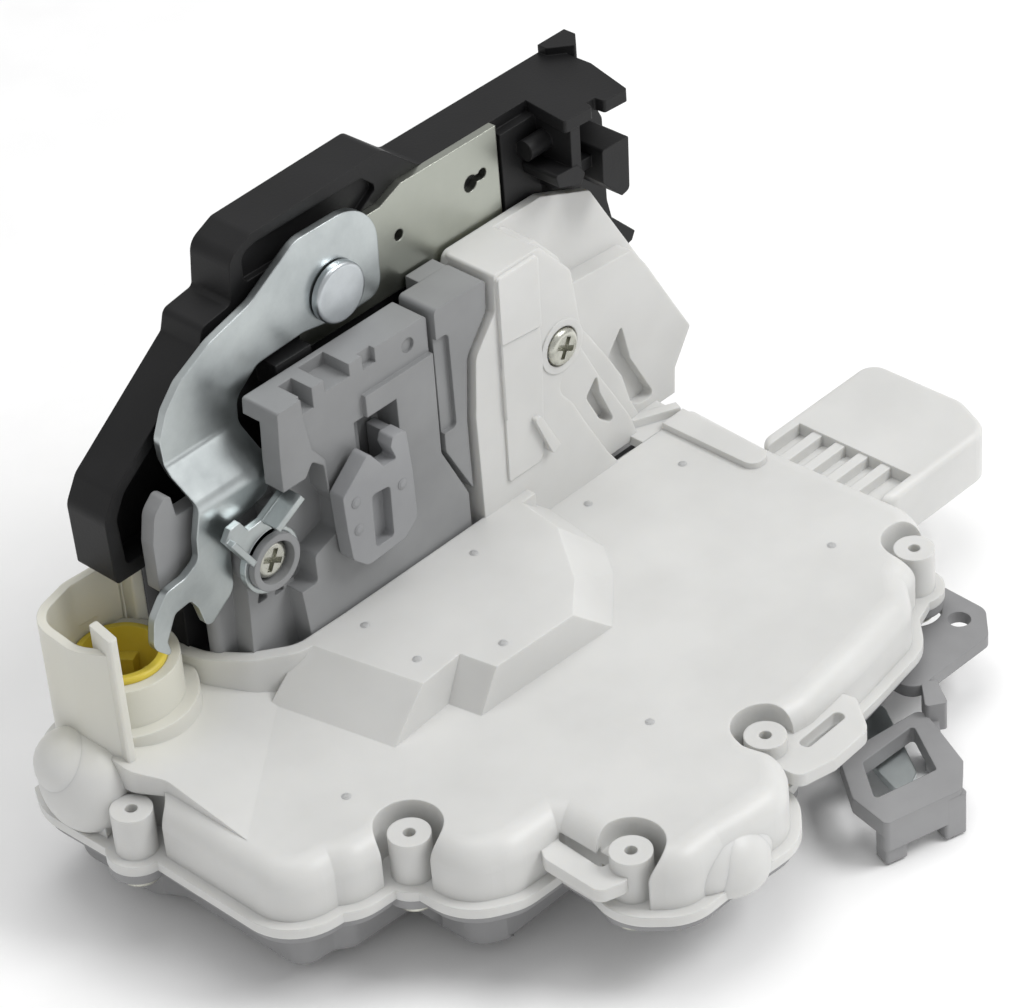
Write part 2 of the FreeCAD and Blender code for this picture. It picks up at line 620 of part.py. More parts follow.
# Outline of the steel shut plate inside the housing rim.
SHUT_PLAN = [
    (-56.4, -10.6, 2), (-60.8, -3.6, 4), (-57.4, 1.6, 4), (-48.6, 8.2, 6), (-33.0, 16.8, 6),
    (-31.0, 22.0, 2), (43.4, 22.0, 2), (43.4, 4.0, 4), (45.2, -4.0, 5), (51.6, -17.0, 6),
    (54.4, -37.6, 4), (-53.2, -37.6, 2), (-53.2, -10.6, 2),
]

# Threaded fixing holes of the shut plate.
FIXINGS = [(-42.0, 3.0), (-27.0, -30.0), (46.0, -30.0)]


def striker_slot(extra, y0, y1):
    # Way of the striker into the head, round at its end and flared at its mouth.
    half = SLOT_HALF + extra
    top = SLOT_TOP_Z + extra
    return slab_y([
        (-half - 4, -60, 0), (-half - 4, -33, 2), (-half, -24, 6), (-half, top, half * 0.99),
        (half, top, half * 0.99), (half, -24, 6), (half + 4, -33, 2), (half + 4, -60, 0)], y0, y1)


def claw_room():
    # Shared cavity of claw and pawl.
    disc = rod_y(CLAW_PIVOT[0], CLAW_PIVOT[1], CLAW_R + 1.0, HOUSING_BACK_Y + 1.6, 1.0)
    pawl_space = slab_y([
        (-33.0, 5.0, 3), (-33.0, 24.0, 4), (-27.0, 28.6, 3), (-6.0, 28.6, 3), (4.0, 22.0, 2),
        (2.0, 5.0, 1)], HOUSING_BACK_Y + 1.6, 1.0)
    return disc.fuse(pawl_space).removeSplitter()


def housing_face():
    # Rim of the moulding standing round the shut plate.
    plan = rounded_wire(SHUT_PLAN, place_y(-SHUT_PLATE_T))
    grown = Part.Face(plan.makeOffset2D(SHUT_RIM))
    if grown.Area < Part.Face(plan).Area:
        grown = Part.Face(plan.makeOffset2D(-SHUT_RIM))
    return grown.extrude(V(0, SHUT_PLATE_T, 0))


def end_tab():
    # Top plate of the housing's end with the clip pieces under it.
    back = HOUSING_BACK_Y + 1
    plate = slab_z([
        (28.2, back, 0), (26.8, -20.8, 0.5), (33.0, -21.2, 0.5), (33.2, -19.6, 0.3), (35.2, -19.6, 0.3),
        (35.4, -21.6, 0.5), (40.4, -22.0, 0.5), (43.0, -11.8, 0.5), (42.8, -3.0, 0), (38.0, -3.0, 0)],
        24.4, HEAD_TOP_Z)
    nub = slab_z([(40.4, -SHUT_PLATE_T, 0), (40.4, -4.4, 0.5), (44.2, -7.6, 0.5), (46.8, -5.0, 0.5),
                  (46.8, -SHUT_PLATE_T, 0)], 20.0, HEAD_TOP_Z + 1.4)
    cheek = slab_x([
        (-20.6, 24.6, 0), (back, 24.6, 0), (back, 11.4, 0), (-16.0, 11.4, 0), (-20.4, 13.6, 1)],
        28.2, 30.4)
    clip = slab_y([
        (34.4, 17.6, 0.5), (40.7, 17.6, 0.5), (40.3, 7.6, 1), (38.4, 7.2, 0.5), (34.2, 11.6, 0.5)],
        -21.4, back)
    nose = slab_y([
        (24.2, 17.6, 0.5), (29.4, 17.2, 0.5), (31.0, 15.0, 0.5), (30.0, 13.2, 0.5), (24.8, 15.2, 0.5)],
        -20.6, -13.2)
    bridge = block(29.0, 36.0, -19.0, back, 14.0, 16.0)
    roller = rod_x(-14.7, 20.6, 1.8, 23.4, 29.4)
    wall = block(19.9, 28.4, -13.0, back, 9.4, 24.6)
    hook = slab_y([
        (46.0, -6.0, 0), (49.7, -7.9, 0.3), (55.1, -13.3, 0.3), (54.3, -14.8, 0.3), (49.0, -16.0, 0)],
        -8.0, -SHUT_PLATE_T)
    return [plate, nub, cheek, clip, nose, bridge, roller, wall, hook]


def latch_housing():
    # Black moulding round the latch: rim, claw cavity, hollow left wing, end tab with clips.
    body = slab_y(HOUSING_PLAN, HOUSING_BACK_Y, -SHUT_PLATE_T)
    shelf = block(-34.6, -27.0, -15.8, HOUSING_BACK_Y + 1, 6.6, 11.0)
    shape = joined([body, housing_face(), shelf] + end_tab())
    cutters = [claw_room(), striker_slot(0.8, -30, 5)]
    seat_wire = rounded_wire(SHUT_PLAN, place_y(-SHUT_PLATE_T))
    cutters.append(Part.Face(seat_wire).extrude(V(0, SHUT_PLATE_T + 1, 0)))
    cutters.append(slab_y([
        (-65.0, -11.0, 1), (-65.6, -2.0, 3), (-63.4, 1.8, 3), (-44.6, 15.6, 1),
        (-41.0, 15.4, 1), (-41.0, -11.0, 1)], HOUSING_BACK_Y - 1, HOUSING_BACK_Y + 4.4))
    cutters.append(slab_y([
        (-34.8, 24.6, 1), (-34.8, 29.6, 2), (-31.6, 30.4, 1), (-9.0, 30.4, 1), (-6.4, 28.0, 1),
        (-6.4, 26.9, 0), (-10.0, 24.6, 0)], HOUSING_BACK_Y - 1, HOUSING_BACK_Y + 1.2))
    for x, z in FIXINGS:
        cutters.append(rod_y(x, z, NUT_R + 0.2, -9.6, 1))
    cutters.append(rod_y(CLAW_PIVOT[0], CLAW_PIVOT[1], CLAW_SHAFT_R, -14, 1))
    cutters.append(rod_y(PAWL_PIVOT[0], PAWL_PIVOT[1], PAWL_SHAFT_R, -14, 1))
    cutters.append(rod_y(RISER_SCREW[0], RISER_SCREW[1], SCREW_SHANK_R, -14, HOUSING_BACK_Y + 1.3))
    cutters.append(rod_y(CARRIER_SCREW[0], CARRIER_SCREW[1], SCREW_SHANK_R, -14, -7))
    cutters.append(buffer_block())
    shape = without(shape, cutters)
    screw_post = rod_y(CARRIER_SCREW[0], CARRIER_SCREW[1], 4.0, HOUSING_BACK_Y - 1.6, HOUSING_BACK_Y + 5)
    screw_post = screw_post.cut(rod_y(CARRIER_SCREW[0], CARRIER_SCREW[1], SCREW_SHANK_R, -14, -7))
    return joined([shape, screw_post])


def buffer_block():
    # Rubber stop above the end of the striker slot.
    z0 = SLOT_TOP_Z + 0.4
    z1 = SLOT_TOP_Z + 5.0
    return slab_y([(-5.4, z0, 0), (5.4, z0, 0), (5.4, z1, 1.5), (-5.4, z1, 1.5)],
                  HOUSING_BACK_Y, HOUSING_BACK_Y + 2.4)


def shut_plate():
    # Steel plate on the door's shut face with its three pressed-in nuts.
    plate = slab_y(SHUT_PLAN, -SHUT_PLATE_T, 0.0)
    nuts = [rod_y(x, z, NUT_R, -9.2, -SHUT_PLATE_T + 0.5) for x, z in FIXINGS]
    shape = joined([plate] + nuts)
    cutters = [striker_slot(0.0, -30, 5)]
    for x, z in FIXINGS:
        cutters.append(rod_y(x, z, SHUT_THREAD_R, -20, 5))
    cutters.append(rod_y(CLAW_PIVOT[0], CLAW_PIVOT[1], CLAW_SHAFT_R, -14, 1))
    cutters.append(rod_y(PAWL_PIVOT[0], PAWL_PIVOT[1], PAWL_SHAFT_R, -14, 1))
    return without(shape, cutters)


def back_plate():
    # Zinc-plated plate carrying the two rivets, rolled over along its upper foot.
    y0 = HOUSING_BACK_Y - BACK_PLATE_T
    plate = slab_y([
        (-31.0, 12.2, 1), (-31.0, 24.6, 2), (-7.0, 24.6, 1), (-2.0, HEAD_TOP_Z, 1), (19.4, HEAD_TOP_Z, 0),
        (19.4, 8.6, 0), (27.8, 8.6, 0), (27.8, -20.0, 3), (8.0, -20.0, 2), (8.0, 4.0, 2), (4.0, 8.0, 2),
        (-26.4, 8.0, 1), (-26.4, 12.2, 1)], y0, HOUSING_BACK_Y)
    cutters = [rod_y(PAWL_PIVOT[0], PAWL_PIVOT[1], PAWL_SHAFT_R, -20, 0)]
    cutters.append(rod_y(CLAW_PIVOT[0], CLAW_PIVOT[1], CLAW_SHAFT_R, -20, 0))
    cutters.append(rod_y(RISER_SCREW[0], RISER_SCREW[1], SCREW_SHANK_R, -20, 0))
    cutters.append(rod_y(12.9, 19.0, 1.5, -20, 0))
    cutters.append(rod_y(15.6, 19.5, 1.0, -20, 0))
    cutters.append(block(13.0, 15.6, -20, 0, 18.6, 20.0))
    cutters.append(rod_y(-3.6, 17.8, 1.0, -20, 0))
    return without(plate, cutters)


def turned(shape, pivot, degrees):
    # Shape swung about a pivot of the latch head.
    shape.rotate(V(pivot[0], 0, pivot[1]), V(0, 1, 0), degrees)
    return shape


def claw():
    # Forked catch, drawn closed round the striker and stored open.
    px, pz = CLAW_PIVOT
    disc = rod_y(px, pz, CLAW_R, CLAW_BACK_Y, CLAW_FRONT_Y)
    sector = slab_y([
        (px + 6, pz - 5, 0), (px + 2, pz + 14, 0), (px - 14, pz + 40, 0), (px - 60, pz + 40, 0),
        (px - 60, pz - 50, 0), (px - 24, pz - 50, 0)], CLAW_BACK_Y, CLAW_FRONT_Y)
    hub = rod_y(px, pz, 9.0, CLAW_BACK_Y, CLAW_FRONT_Y)
    shape = joined([disc.common(sector), hub])
    throat = rod_y(0, 0, THROAT_HALF, -20, 5).fuse(block(-20, 0, -20, 5, -THROAT_HALF, THROAT_HALF))
    notch = slab_y([
        (px - 30, pz + 9.6, 0), (px - 21.4, pz + 9.6, 1), (px - 16.6, pz + 14.0, 1),
        (px - 21, pz + 22, 0)], -20, 5)
    shape = without(shape, [throat, notch, rod_y(px, pz, CLAW_SHAFT_R + RUNNING_GAP, -20, 5)])
    return turned(shape, CLAW_PIVOT, -CLAW_OPEN_TURN)


def pawl():
    # Arm that rides just off the claw's rim and drops into its notch.
    px, pz = PAWL_PIVOT
    arm = slab_y([
        (px - 6, pz - 6.4, 5), (px - 6, pz + 6.4, 5), (px + 10, pz + 6.0, 4), (px + 20.0, pz + 1.0, 2),
        (px + 20.0, pz - 8.6, 1), (px + 8, pz - 9.4, 3)], CLAW_BACK_Y, CLAW_FRONT_Y)
    cutters = [rod_y(px, pz, PAWL_SHAFT_R + RUNNING_GAP, -20, 5)]
    cutters.append(rod_y(CLAW_PIVOT[0], CLAW_PIVOT[1], CLAW_R + PAWL_RIDE_GAP, -20, 5))
    return without(arm, cutters)


def claw_rivet():
    x, z = CLAW_PIVOT
    return rod_y(x, z, CLAW_SHAFT_R, HOUSING_BACK_Y - BACK_PLATE_T, 0.0)


def lever_rivet():
    # Shouldered rivet shared by the pawl and the outside release lever.
    x, z = PAWL_PIVOT
    head_y = HOUSING_BACK_Y - BACK_PLATE_T - 2 * LEVER_GAP - LEVER_T
    shank = rod_y(x, z, PAWL_SHAFT_R, head_y, 0.0)
    head = rod_y(x, z, RIVET_HEAD_R, head_y - 1.5, head_y)
    head = round_facing_edges(head, head_y - 1.5, 0.7)
    return joined([shank, head])


def return_spring(pivot, sizes):
    # One turn of spring wire with two straight legs, lying behind claw or pawl.
    px, pz = pivot
    radius, start, leg = sizes
    wire_r = SPRING_WIRE_R
    y = CLAW_BACK_Y - 0.8
    ring = Part.makeTorus(radius, wire_r, V(px, y, pz), V(0, 1, 0))
    a0 = math.radians(start)
    a1 = math.radians(start + SPRING_SWEEP)
    p0 = V(px + radius * math.cos(a0), y, pz + radius * math.sin(a0))
    p1 = V(px + radius * math.cos(a1), y, pz + radius * math.sin(a1))
    gap = math.radians(start - (360 - SPRING_SWEEP) / 2.0)
    far = 3.0 * radius
    hub = V(px, y - 2, pz)
    rays = [hub + V(far * math.cos(a), 0, far * math.sin(a)) for a in (a0, gap, a1)]
    wedge = Part.makePolygon([hub] + rays + [hub])
    open_part = Part.Face(wedge).extrude(V(0, 4, 0))
    ring = ring.cut(open_part)
    t0 = V(math.sin(a0), 0, -math.cos(a0))
    t1 = V(-math.sin(a1), 0, math.cos(a1))
    leg0 = Part.makeCylinder(wire_r, leg, p0, t0)
    leg1 = Part.makeCylinder(wire_r, leg, p1, t1)
    return joined([ring, leg0, leg1])


# Outside release lever: outline of the developed sheet seen along the shut face normal.
LEVER_PLAN = [
    (-26.4, 29.2, 6), (-9.4, 29.0, 9), (-10.0, 11.2, 3), (-18.0, 11.0, 2), (-27.0, 12.7, 6),
    (-37.0, 12.2, 3),
    (-41.9, 8.6, 3), (-42.2, 4.0, 2), (-40.4, -2.6, 3), (-42.4, -6.8, 2.5), (-50.9, -8.8, 2),
    (-51.3, -20.2, 3), (-57.4, -24.4, 1.2), (-58.7, -19.4, 1), (-60.0, -17.2, 1), (-63.4, -17.6, 1.2),
    (-65.6, -21.8, 1), (-64.8, -25.2, 0.6), (-68.4, -21.6, 2.5), (-67.6, -16.6, 3), (-64.6, -13.0, 3),
    (-60.4, -12.6, 2), (-57.4, -11.0, 2), (-57.2, -7.4, 2), (-55.8, -2.0, 3), (-57.4, 3.0, 3),
    (-57.8, 9.4, 3), (-55.8, 13.8, 3), (-52.6, 17.2, 4), (-45.6, 20.8, 6), (-36.8, 23.2, 6),
]


def outside_lever():
    # Flat plate on the rivet, swept forward by an S bend into the strip with the rod hook.
    y_plate = HOUSING_BACK_Y - BACK_PLATE_T - LEVER_GAP
    profile = [
        (y_plate, 40.0, 0), (y_plate, 5.6, 3.0), (STRIP_Y, -1.4, 3.0), (STRIP_Y, -40.0, 0),
        (STRIP_Y - LEVER_T, -40.0, 0), (STRIP_Y - LEVER_T, -2.2, 4.4),
        (y_plate - LEVER_T, 4.8, 1.6), (y_plate - LEVER_T, 40.0, 0),
    ]
    sheet = slab_x(profile, -80, 0)
    outline = slab_y(LEVER_PLAN, -30, -8)
    shape = sheet.common(outline)
    hole = rod_y(PAWL_PIVOT[0], PAWL_PIVOT[1], PAWL_SHAFT_R + RUNNING_GAP, -30, 0)
    return shape.cut(hole)


# Pockets sunk into the carrier's top face: x from and to, y from and to, depth.
TOP_POCKETS = [
    (-37.0, -34.2, -23.2, -18.6, 3.6), (-31.6, -26.2, -23.2, -17.4, 2.2),
    (-23.4, -20.6, -25.0, -22.0, 2.6),
]


def bay_region(inset, z0, z1):
    # Stretch of the bay that the carrier's floor fills.
    plan = grown_slab_z(BAY_PLAN, -inset, z0, z1)
    return plan.common(block(-54.9, -2.8, -60, -13.6, z0 - 1, z1 + 1))


def carrier_block():
    # Stepped block of the bay: column, sunk wall, raised plate and the pockets of its top.
    main = slab_y([
        (-42.4, BLOCK_TOP_Z, 0.5), (-9.2, BLOCK_TOP_Z, 0.8), (-9.5, -16.0, 2), (-4.3, -27.0, 2),
        (-4.3, BAY_FLOOR_Z - 1, 0), (-40.6, BAY_FLOOR_Z - 1, 0), (-43.0, -12.0, 1), (-43.0, 0.0, 1)],
        BLOCK_FRONT_Y, BLOCK_BACK_Y)
    front = BLOCK_FRONT_Y - 1
    cutters = [slab_y([
        (-37.5, 12.0, 0), (-37.4, 7.7, 1), (-36.3, -0.1, 1), (-33.9, -3.3, 1), (-33.7, -9.3, 1),
        (-31.9, -12.3, 0.5), (-24.3, -12.3, 0), (-24.3, 3.1, 0), (-8.0, 3.1, 0), (-8.0, 12.0, 0)],
        front, BLOCK_FRONT_Y + 0.9)]
    cutters.append(slab_y([
        (-60.0, -4.2, 0), (-38.2, -4.4, 0.5), (-36.6, -2.2, 0.5), (-34.3, -4.2, 1), (-34.0, -9.6, 1),
        (-32.4, -12.6, 0.5), (-32.6, -17.5, 1), (-38.3, -19.5, 1), (-38.3, -24.6, 1), (-60.0, -24.6, 0)],
        front, RECESS_Y))
    cutters.append(block(-60, -39.6, RECESS_Y - 0.1, -10, -9.5, 7.0))
    cutters.append(block(-24.3, -17.9, front, -19.2, -13.5, -0.8))
    cutters.append(block(-26.4 - SLIDE_GAP, -23.4 + SLIDE_GAP, front, BLOCK_FRONT_Y + 2.6, -24.6, -1.0))
    for x0, x1, y0, y1, depth in TOP_POCKETS:
        cutters.append(block(x0, x1, y0, y1, BLOCK_TOP_Z - depth, BLOCK_TOP_Z + 1))
    return without(main, cutters)


def mechanism_carrier():
    # Grey frame of the bay: floor, stepped block, rounded end and screw boss.
    x, z = CARRIER_SCREW
    floor = bay_region(0.2, SEAM_Z, BAY_FLOOR_Z)
    hollow = bay_region(2.4, SEAM_Z - 1, BAY_FLOOR_Z - 2.0).common(block(-80, 0, -40, -15.6, -60, 0))
    end_wall = slab_z([
        (-54.0, -13.8, 1), (-54.0, -16.6, 2.5), (-47.0, -16.9, 0), (-36.0, -16.9, 0), (-36.0, -13.8, 0)],
        BAY_FLOOR_Z - 1, -3.4)
    end_round = slab_y([
        (-50.0, -3.4, 0), (-58.2, -3.4, 0.5), (-58.8, 0.6, 0.5), (-60.0, 1.2, 1.5), (-62.4, -1.0, 3),
        (-63.4, -6.0, 3), (-63.4, -15.4, 1), (-50.0, -15.4, 0)], BLOCK_BACK_Y, -13.6)
    boss = rod_y(x, z, CARRIER_BOSS_R, BLOCK_FRONT_Y + 0.6, -14.4)
    web = slab_y([
        (-49.6, -18.0, 1), (-41.0, -18.0, 1), (-38.4, BAY_FLOOR_Z - 1, 0), (-50.4, BAY_FLOOR_Z - 1, 0)],
        -20.5, -14.4)
    shape = joined([floor.cut(hollow), carrier_block(), end_wall, end_round, boss, web])
    cutters = [rod_y(x, z, SCREW_SHANK_R, -40, 0)]
    cutters.append(rod_y(x, z, SCREW_HEAD_R + 0.4, -40, BLOCK_FRONT_Y + 1.6 + SCREW_HEAD_H))
    for x0, z0 in ((-48.2, -24.6), (-44.6, -25.2), (-41.6, -24.0)):
        window = [(x0, z0, 0.4), (x0 + 2.4, z0, 0.4), (x0 + 1.2, z0 + 3.2, 0.4)]
        cutters.append(slab_y(window, -40, -18.4))
    cutters.append(rod_y(-13.6, 6.6, 1.3, BLOCK_FRONT_Y - 1, BLOCK_FRONT_Y + 1.4))
    return without(shape, cutters)


def guide_block():
    # Second grey block beside the riser, split from the carrier by a narrow gap.
    body = slab_y([
        (-8.3, 10.5, 0.8), (3.4, 10.3, 0.8), (3.0, 4.6, 2), (-2.0, -1.6, 3), (-3.2, -13.5, 2),
        (-3.2, -26.6, 0), (-8.4, -16.4, 2)], BLOCK_FRONT_Y, BLOCK_BACK_Y)
    tail = block(-3.6, 2.6, BLOCK_BACK_Y - 1, -13.2, 5.6, 10.3)
    scoop = slab_y([(-9.0, 5.0, 0), (-5.6, 5.0, 1), (-5.6, -13.0, 1), (-9.0, -13.0, 0)],
                   BLOCK_FRONT_Y - 1, BLOCK_FRONT_Y + 0.8)
    return body.fuse(tail).removeSplitter().cut(scoop)


def release_link():
    # Slotted lifting plate with a side wall and a tongue running in the carrier groove.
    plate = slab_y([
        (-34.2, -9.2, 0.8), (-28.0, -4.0, 0.8), (-25.0, -8.2, 0.6), (-22.2, -8.3, 0.4), (-23.2, -5.6, 0.5),
        (-22.6, -4.0, 0.5), (-19.7, -4.2, 0.8), (-19.1, -12.2, 2), (-19.0, -21.6, 1.5), (-22.0, -24.0, 1.5),
        (-30.4, -24.4, 2), (-33.4, -21.6, 2), (-33.9, -16.0, 2)], LINK_FRONT_Y, LINK_BACK_Y)
    slot = slab_y([
        (-28.2, -12.0, 0.8), (-24.2, -12.4, 0.8), (-24.4, -22.1, 0.8), (-28.4, -22.1, 0.8)],
        LINK_FRONT_Y - 1, LINK_FRONT_Y + 2.0)
    tongue = block(-26.4, -23.4, LINK_BACK_Y - 0.5, BLOCK_FRONT_Y + 2.2, -23.4, -9.0)
    wall = block(-21.0, -19.2, LINK_BACK_Y - 1, -19.8, -13.0, -5.4)
    return joined([plate.cut(slot), tongue, wall])


def lock_lever():
    # Small folded steel lever turning on the carrier boss.
    x, z = CARRIER_SCREW
    y0 = BLOCK_FRONT_Y + 3.0
    ring = rod_y(x, z, 6.6, y0 - LOCK_LEVER_T, y0)
    arm = slab_y([
        (x - 7.4, z + 2.6, 1), (x - 4.0, z + 7.6, 1.5), (x + 3.4, z + 8.0, 1), (x + 6.2, z + 10.4, 1),
        (x + 8.0, z + 8.0, 1), (x + 5.0, z + 1.0, 1)], y0 - LOCK_LEVER_T, y0)
    tab = block(x + 3.6, x + 3.6 + LOCK_LEVER_T, y0 - 5.0, y0 - 0.6, z + 6.4, z + 9.4)
    return joined([ring, arm, tab]).cut(rod_y(x, z, CARRIER_BOSS_R + RUNNING_GAP, -40, 0))


def lock_coupling():
    # Yellow cup turned by the lock cylinder bar.
    x, y = COUPLING
    body = rod_z(x, y, COUPLING_R, -43.0, COUPLING_TOP_Z)
    body = round_level_edges(body, COUPLING_TOP_Z, 0.6)
    arm = slab_z([
        (x - 2.4, y, 0), (x - 1.6, y - 9.6, 1.2), (x + 1.6, y - 9.6, 1.2), (x + 2.4, y, 0)], -46.4, -42.6)
    foot = rod_z(x, y, 4.0, BASE_Z + 3.0, -42.6)
    cup = Part.makeCone(5.0, 6.2, 11.0, V(x, y, COUPLING_TOP_Z - 10.8), V(0, 0, 1))
    bar = block(x - 5.6, x + 5.6, y - 1.0, y + 1.0, COUPLING_TOP_Z - 15.0, COUPLING_TOP_Z - 9.0)
    shape = joined([body, arm, foot])
    return without(shape, [cup, bar])


def drive_axles():
    # Axle of each wheel, set off from its worm by both pitch radii.
    pitch = TOOTH_MODULE / 2.0
    lock_y = LOCK_WORM_Y - WORM_PITCH_R - LOCK_TEETH * pitch
    safe_y = SAFE_WORM_Y + WORM_PITCH_R + SAFE_TEETH * pitch
    return [(LOCK_WHEEL_X, lock_y), (SAFE_WHEEL_X, safe_y)]


def motor_beds():
    # Ends and centre line of each motor can.
    return [LOCK_MOTOR_X + (LOCK_WORM_Y,), SAFE_MOTOR_X + (SAFE_WORM_Y,)]


def toothed_wheel(x, y, teeth, facing):
    # Flat wheel whose tooth gap faces the worm at rest.
    pitch_r = TOOTH_MODULE * teeth / 2.0
    tip_r = pitch_r + 0.8
    root_r = pitch_r - 1.2
    step = 2 * math.pi / teeth
    corners = []
    for k in range(teeth):
        middle = math.radians(facing) + (k + 0.5) * step
        for r, half in ((root_r, 0.75), (tip_r, 0.3), (tip_r, -0.3), (root_r, -0.75)):
            angle = middle - half / r
            corners.append(V(x + r * math.cos(angle), y + r * math.sin(angle), DRIVE_Z - WHEEL_T / 2))
    rim = Part.Face(Part.makePolygon(corners + [corners[0]])).extrude(V(0, 0, WHEEL_T))
    hub = rod_z(x, y, 4.2, DRIVE_Z - WHEEL_T / 2 - 3.6, DRIVE_Z + WHEEL_T / 2 + 3.0)
    shape = joined([rim, hub])
    dish = rod_z(x, y, root_r - 2.4, DRIVE_Z + 0.6, DRIVE_Z + 3).cut(rod_z(x, y, 6.2, DRIVE_Z, DRIVE_Z + 4))
    return without(shape, [rod_z(x, y, AXLE_R + RUNNING_GAP, -80, 0), dish])


def worm(wheel_x, y, motor_end, facing_up):
    # Screw thread on a shaft, phased so a thread crest sits in the wheel's tooth gap.
    lead = math.pi * TOOTH_MODULE
    turns = 5
    length = turns * lead
    helix = Part.makeHelix(lead, length, WORM_ROOT_R + 0.6)
    section = [V(WORM_ROOT_R - 0.4, 0, -THREAD_W / 2 - 0.2), V(WORM_TIP_R, 0, -THREAD_W / 2 + 0.1),
               V(WORM_TIP_R, 0, THREAD_W / 2 - 0.1), V(WORM_ROOT_R - 0.4, 0, THREAD_W / 2 + 0.2)]
    profile = Part.Wire(Part.makePolygon(section + [section[0]]))
    thread = Part.Wire(helix).makePipeShell([profile], True, True)
    core = Part.makeCylinder(WORM_ROOT_R, length + 3.0, V(0, 0, -1.5))
    body = core.fuse(thread)
    body.rotate(V(0, 0, 0), V(0, 1, 0), 90)
    quarter = 0.25 if facing_up else 0.75
    start = wheel_x - (2 + quarter) * lead
    body.translate(V(start, y, DRIVE_Z))
    bore = rod_x(y, DRIVE_Z, MOTOR_SHAFT_R + RUNNING_GAP, start - 1.5, start + length + 1.5)
    return body.cut(bore), start, length


def motor(x0, x1, y, shaft_end):
    # Small drum motor with bearing boss and shaft.
    can = rod_x(y, DRIVE_Z, MOTOR_R, x0, x1)
    can = can.common(block(x0 - 1, x1 + 1, y - 8, y + 8, DRIVE_Z - 6.6, DRIVE_Z + 6.6))
    boss_end = x0 - 1.4 if shaft_end < x0 else x1 + 1.4
    boss = rod_x(y, DRIVE_Z, 3.0, min(boss_end, x0), max(boss_end, x1))
    shaft = rod_x(y, DRIVE_Z, MOTOR_SHAFT_R, min(shaft_end, x0), max(shaft_end, x1))
    return joined([can, boss, shaft])


def wheel_axle(x, y):
    # Plain steel pin from the tray's floor to the cover.
    return rod_z(x, y, AXLE_R, BASE_Z + BASE_WALL, MAIN_Z - COVER_WALL)


def microswitch(x, y):
    # Small switch standing on the tray's floor, with its button and three legs.
    floor_z = BASE_Z + BASE_WALL
    body = block(x, x + 12.0, y, y + 6.0, floor_z, floor_z + 8.0)
    button = rod_z(x + 3.0, y + 3.0, 1.0, floor_z + 7.0, floor_z + 9.0)
    legs = []
    for k in range(3):
        left = x + 2.0 + 4.0 * k
        legs.append(block(left, left + 0.6, y - 2.0, y + 1.0, floor_z + 1.0, floor_z + 2.4))
    return joined([body, button] + legs)


def contact_carrier():
    # Plate under the cover whose header holds the contact pins.
    plate = slab_z([
        (30.0, -40.0, 1), (45.6, -40.0, 1), (45.6, -64.0, 1), (30.0, -64.0, 1)],
        -44.4, MAIN_Z - COVER_WALL)
    header = block(41.6, 45.6, -62.0, -42.0, -50.0, -44.0)
    return joined([plate, header]).cut(connector_pins())


def connector_pins():
    # Two rows of square pins from the contact carrier into the socket.
    pins = []
    for z in PIN_ROWS_Z:
        for k in range(PINS_PER_ROW):
            y = PIN_FIRST_Y - PIN_PITCH * k
            pins.append(block(43.5, 74.0, y - PIN_HALF, y + PIN_HALF, z - PIN_HALF, z + PIN_HALF))
    return Part.makeCompound(pins)


def cable_bracket():
    # Clip-on bracket: screw plate, link post and the open cage holding the cable end.
    plate = slab_z([
        (51.4, -74.2, 2), (50.8, -86.6, 3), (45.6, -91.2, 2), (27.0, -90.6, 3), (27.0, -76.0, 2),
        (30.0, -74.2, 1)], BRACKET_TOP_Z - BRACKET_T, BRACKET_TOP_Z)
    post = slab_z([
        (25.0, -94.4, 0.6), (29.4, -90.0, 0.6), (31.4, -91.6, 0.6), (28.0, -96.6, 0.6)],
        CAGE_TOP_Z - CAGE_T, BRACKET_TOP_Z)
    cage = slab_z([
        (1.0, -105.6, 1), (2.6, -97.6, 1), (9.0, -89.6, 1), (26.6, -92.4, 1.5), (20.4, -105.6, 1),
        (14.8, -109.6, 1)], CAGE_TOP_Z - CAGE_T, CAGE_TOP_Z)
    window = slab_z([
        (4.6, -100.4, 0.6), (10.2, -93.4, 0.6), (22.4, -94.0, 0.6), (16.2, -103.6, 0.6)],
        CAGE_TOP_Z - CAGE_T - 2, CAGE_TOP_Z + 1)
    legs = []
    for x, y in ((1.6, -105.0), (12.0, -108.6)):
        legs.append(slab_z([
            (x, y - 0.2, 0.5), (x + 3.8, y - 1.4, 0.5), (x + 4.8, y + 1.8, 0.5), (x + 1.0, y + 3.0, 0.5)],
            CAGE_FOOT_Z, CAGE_TOP_Z - 1))
    back_leg = slab_z([
        (22.8, -96.0, 0.5), (26.4, -93.0, 0.5), (27.6, -94.8, 0.5), (24.0, -98.4, 0.5)],
        CAGE_FOOT_Z, CAGE_TOP_Z - 1)
    lip = slab_z([
        (1.0, -105.6, 0.8), (14.8, -109.6, 0.8), (15.2, -107.8, 0.5), (1.6, -103.8, 0.5)],
        CAGE_TOP_Z - 6.0, CAGE_TOP_Z)
    shape = joined([plate, post, cage.cut(window), lip, back_leg] + legs)
    hole = rod_z(BRACKET_HOLE[0], BRACKET_HOLE[1], BRACKET_HOLE_R, -80, 0)
    screw_room = rod_z(BOSSES[4][0], BOSSES[4][1], SCREW_HEAD_R + 1.2, -80, 0)
    return without(shape, [hole, screw_room])


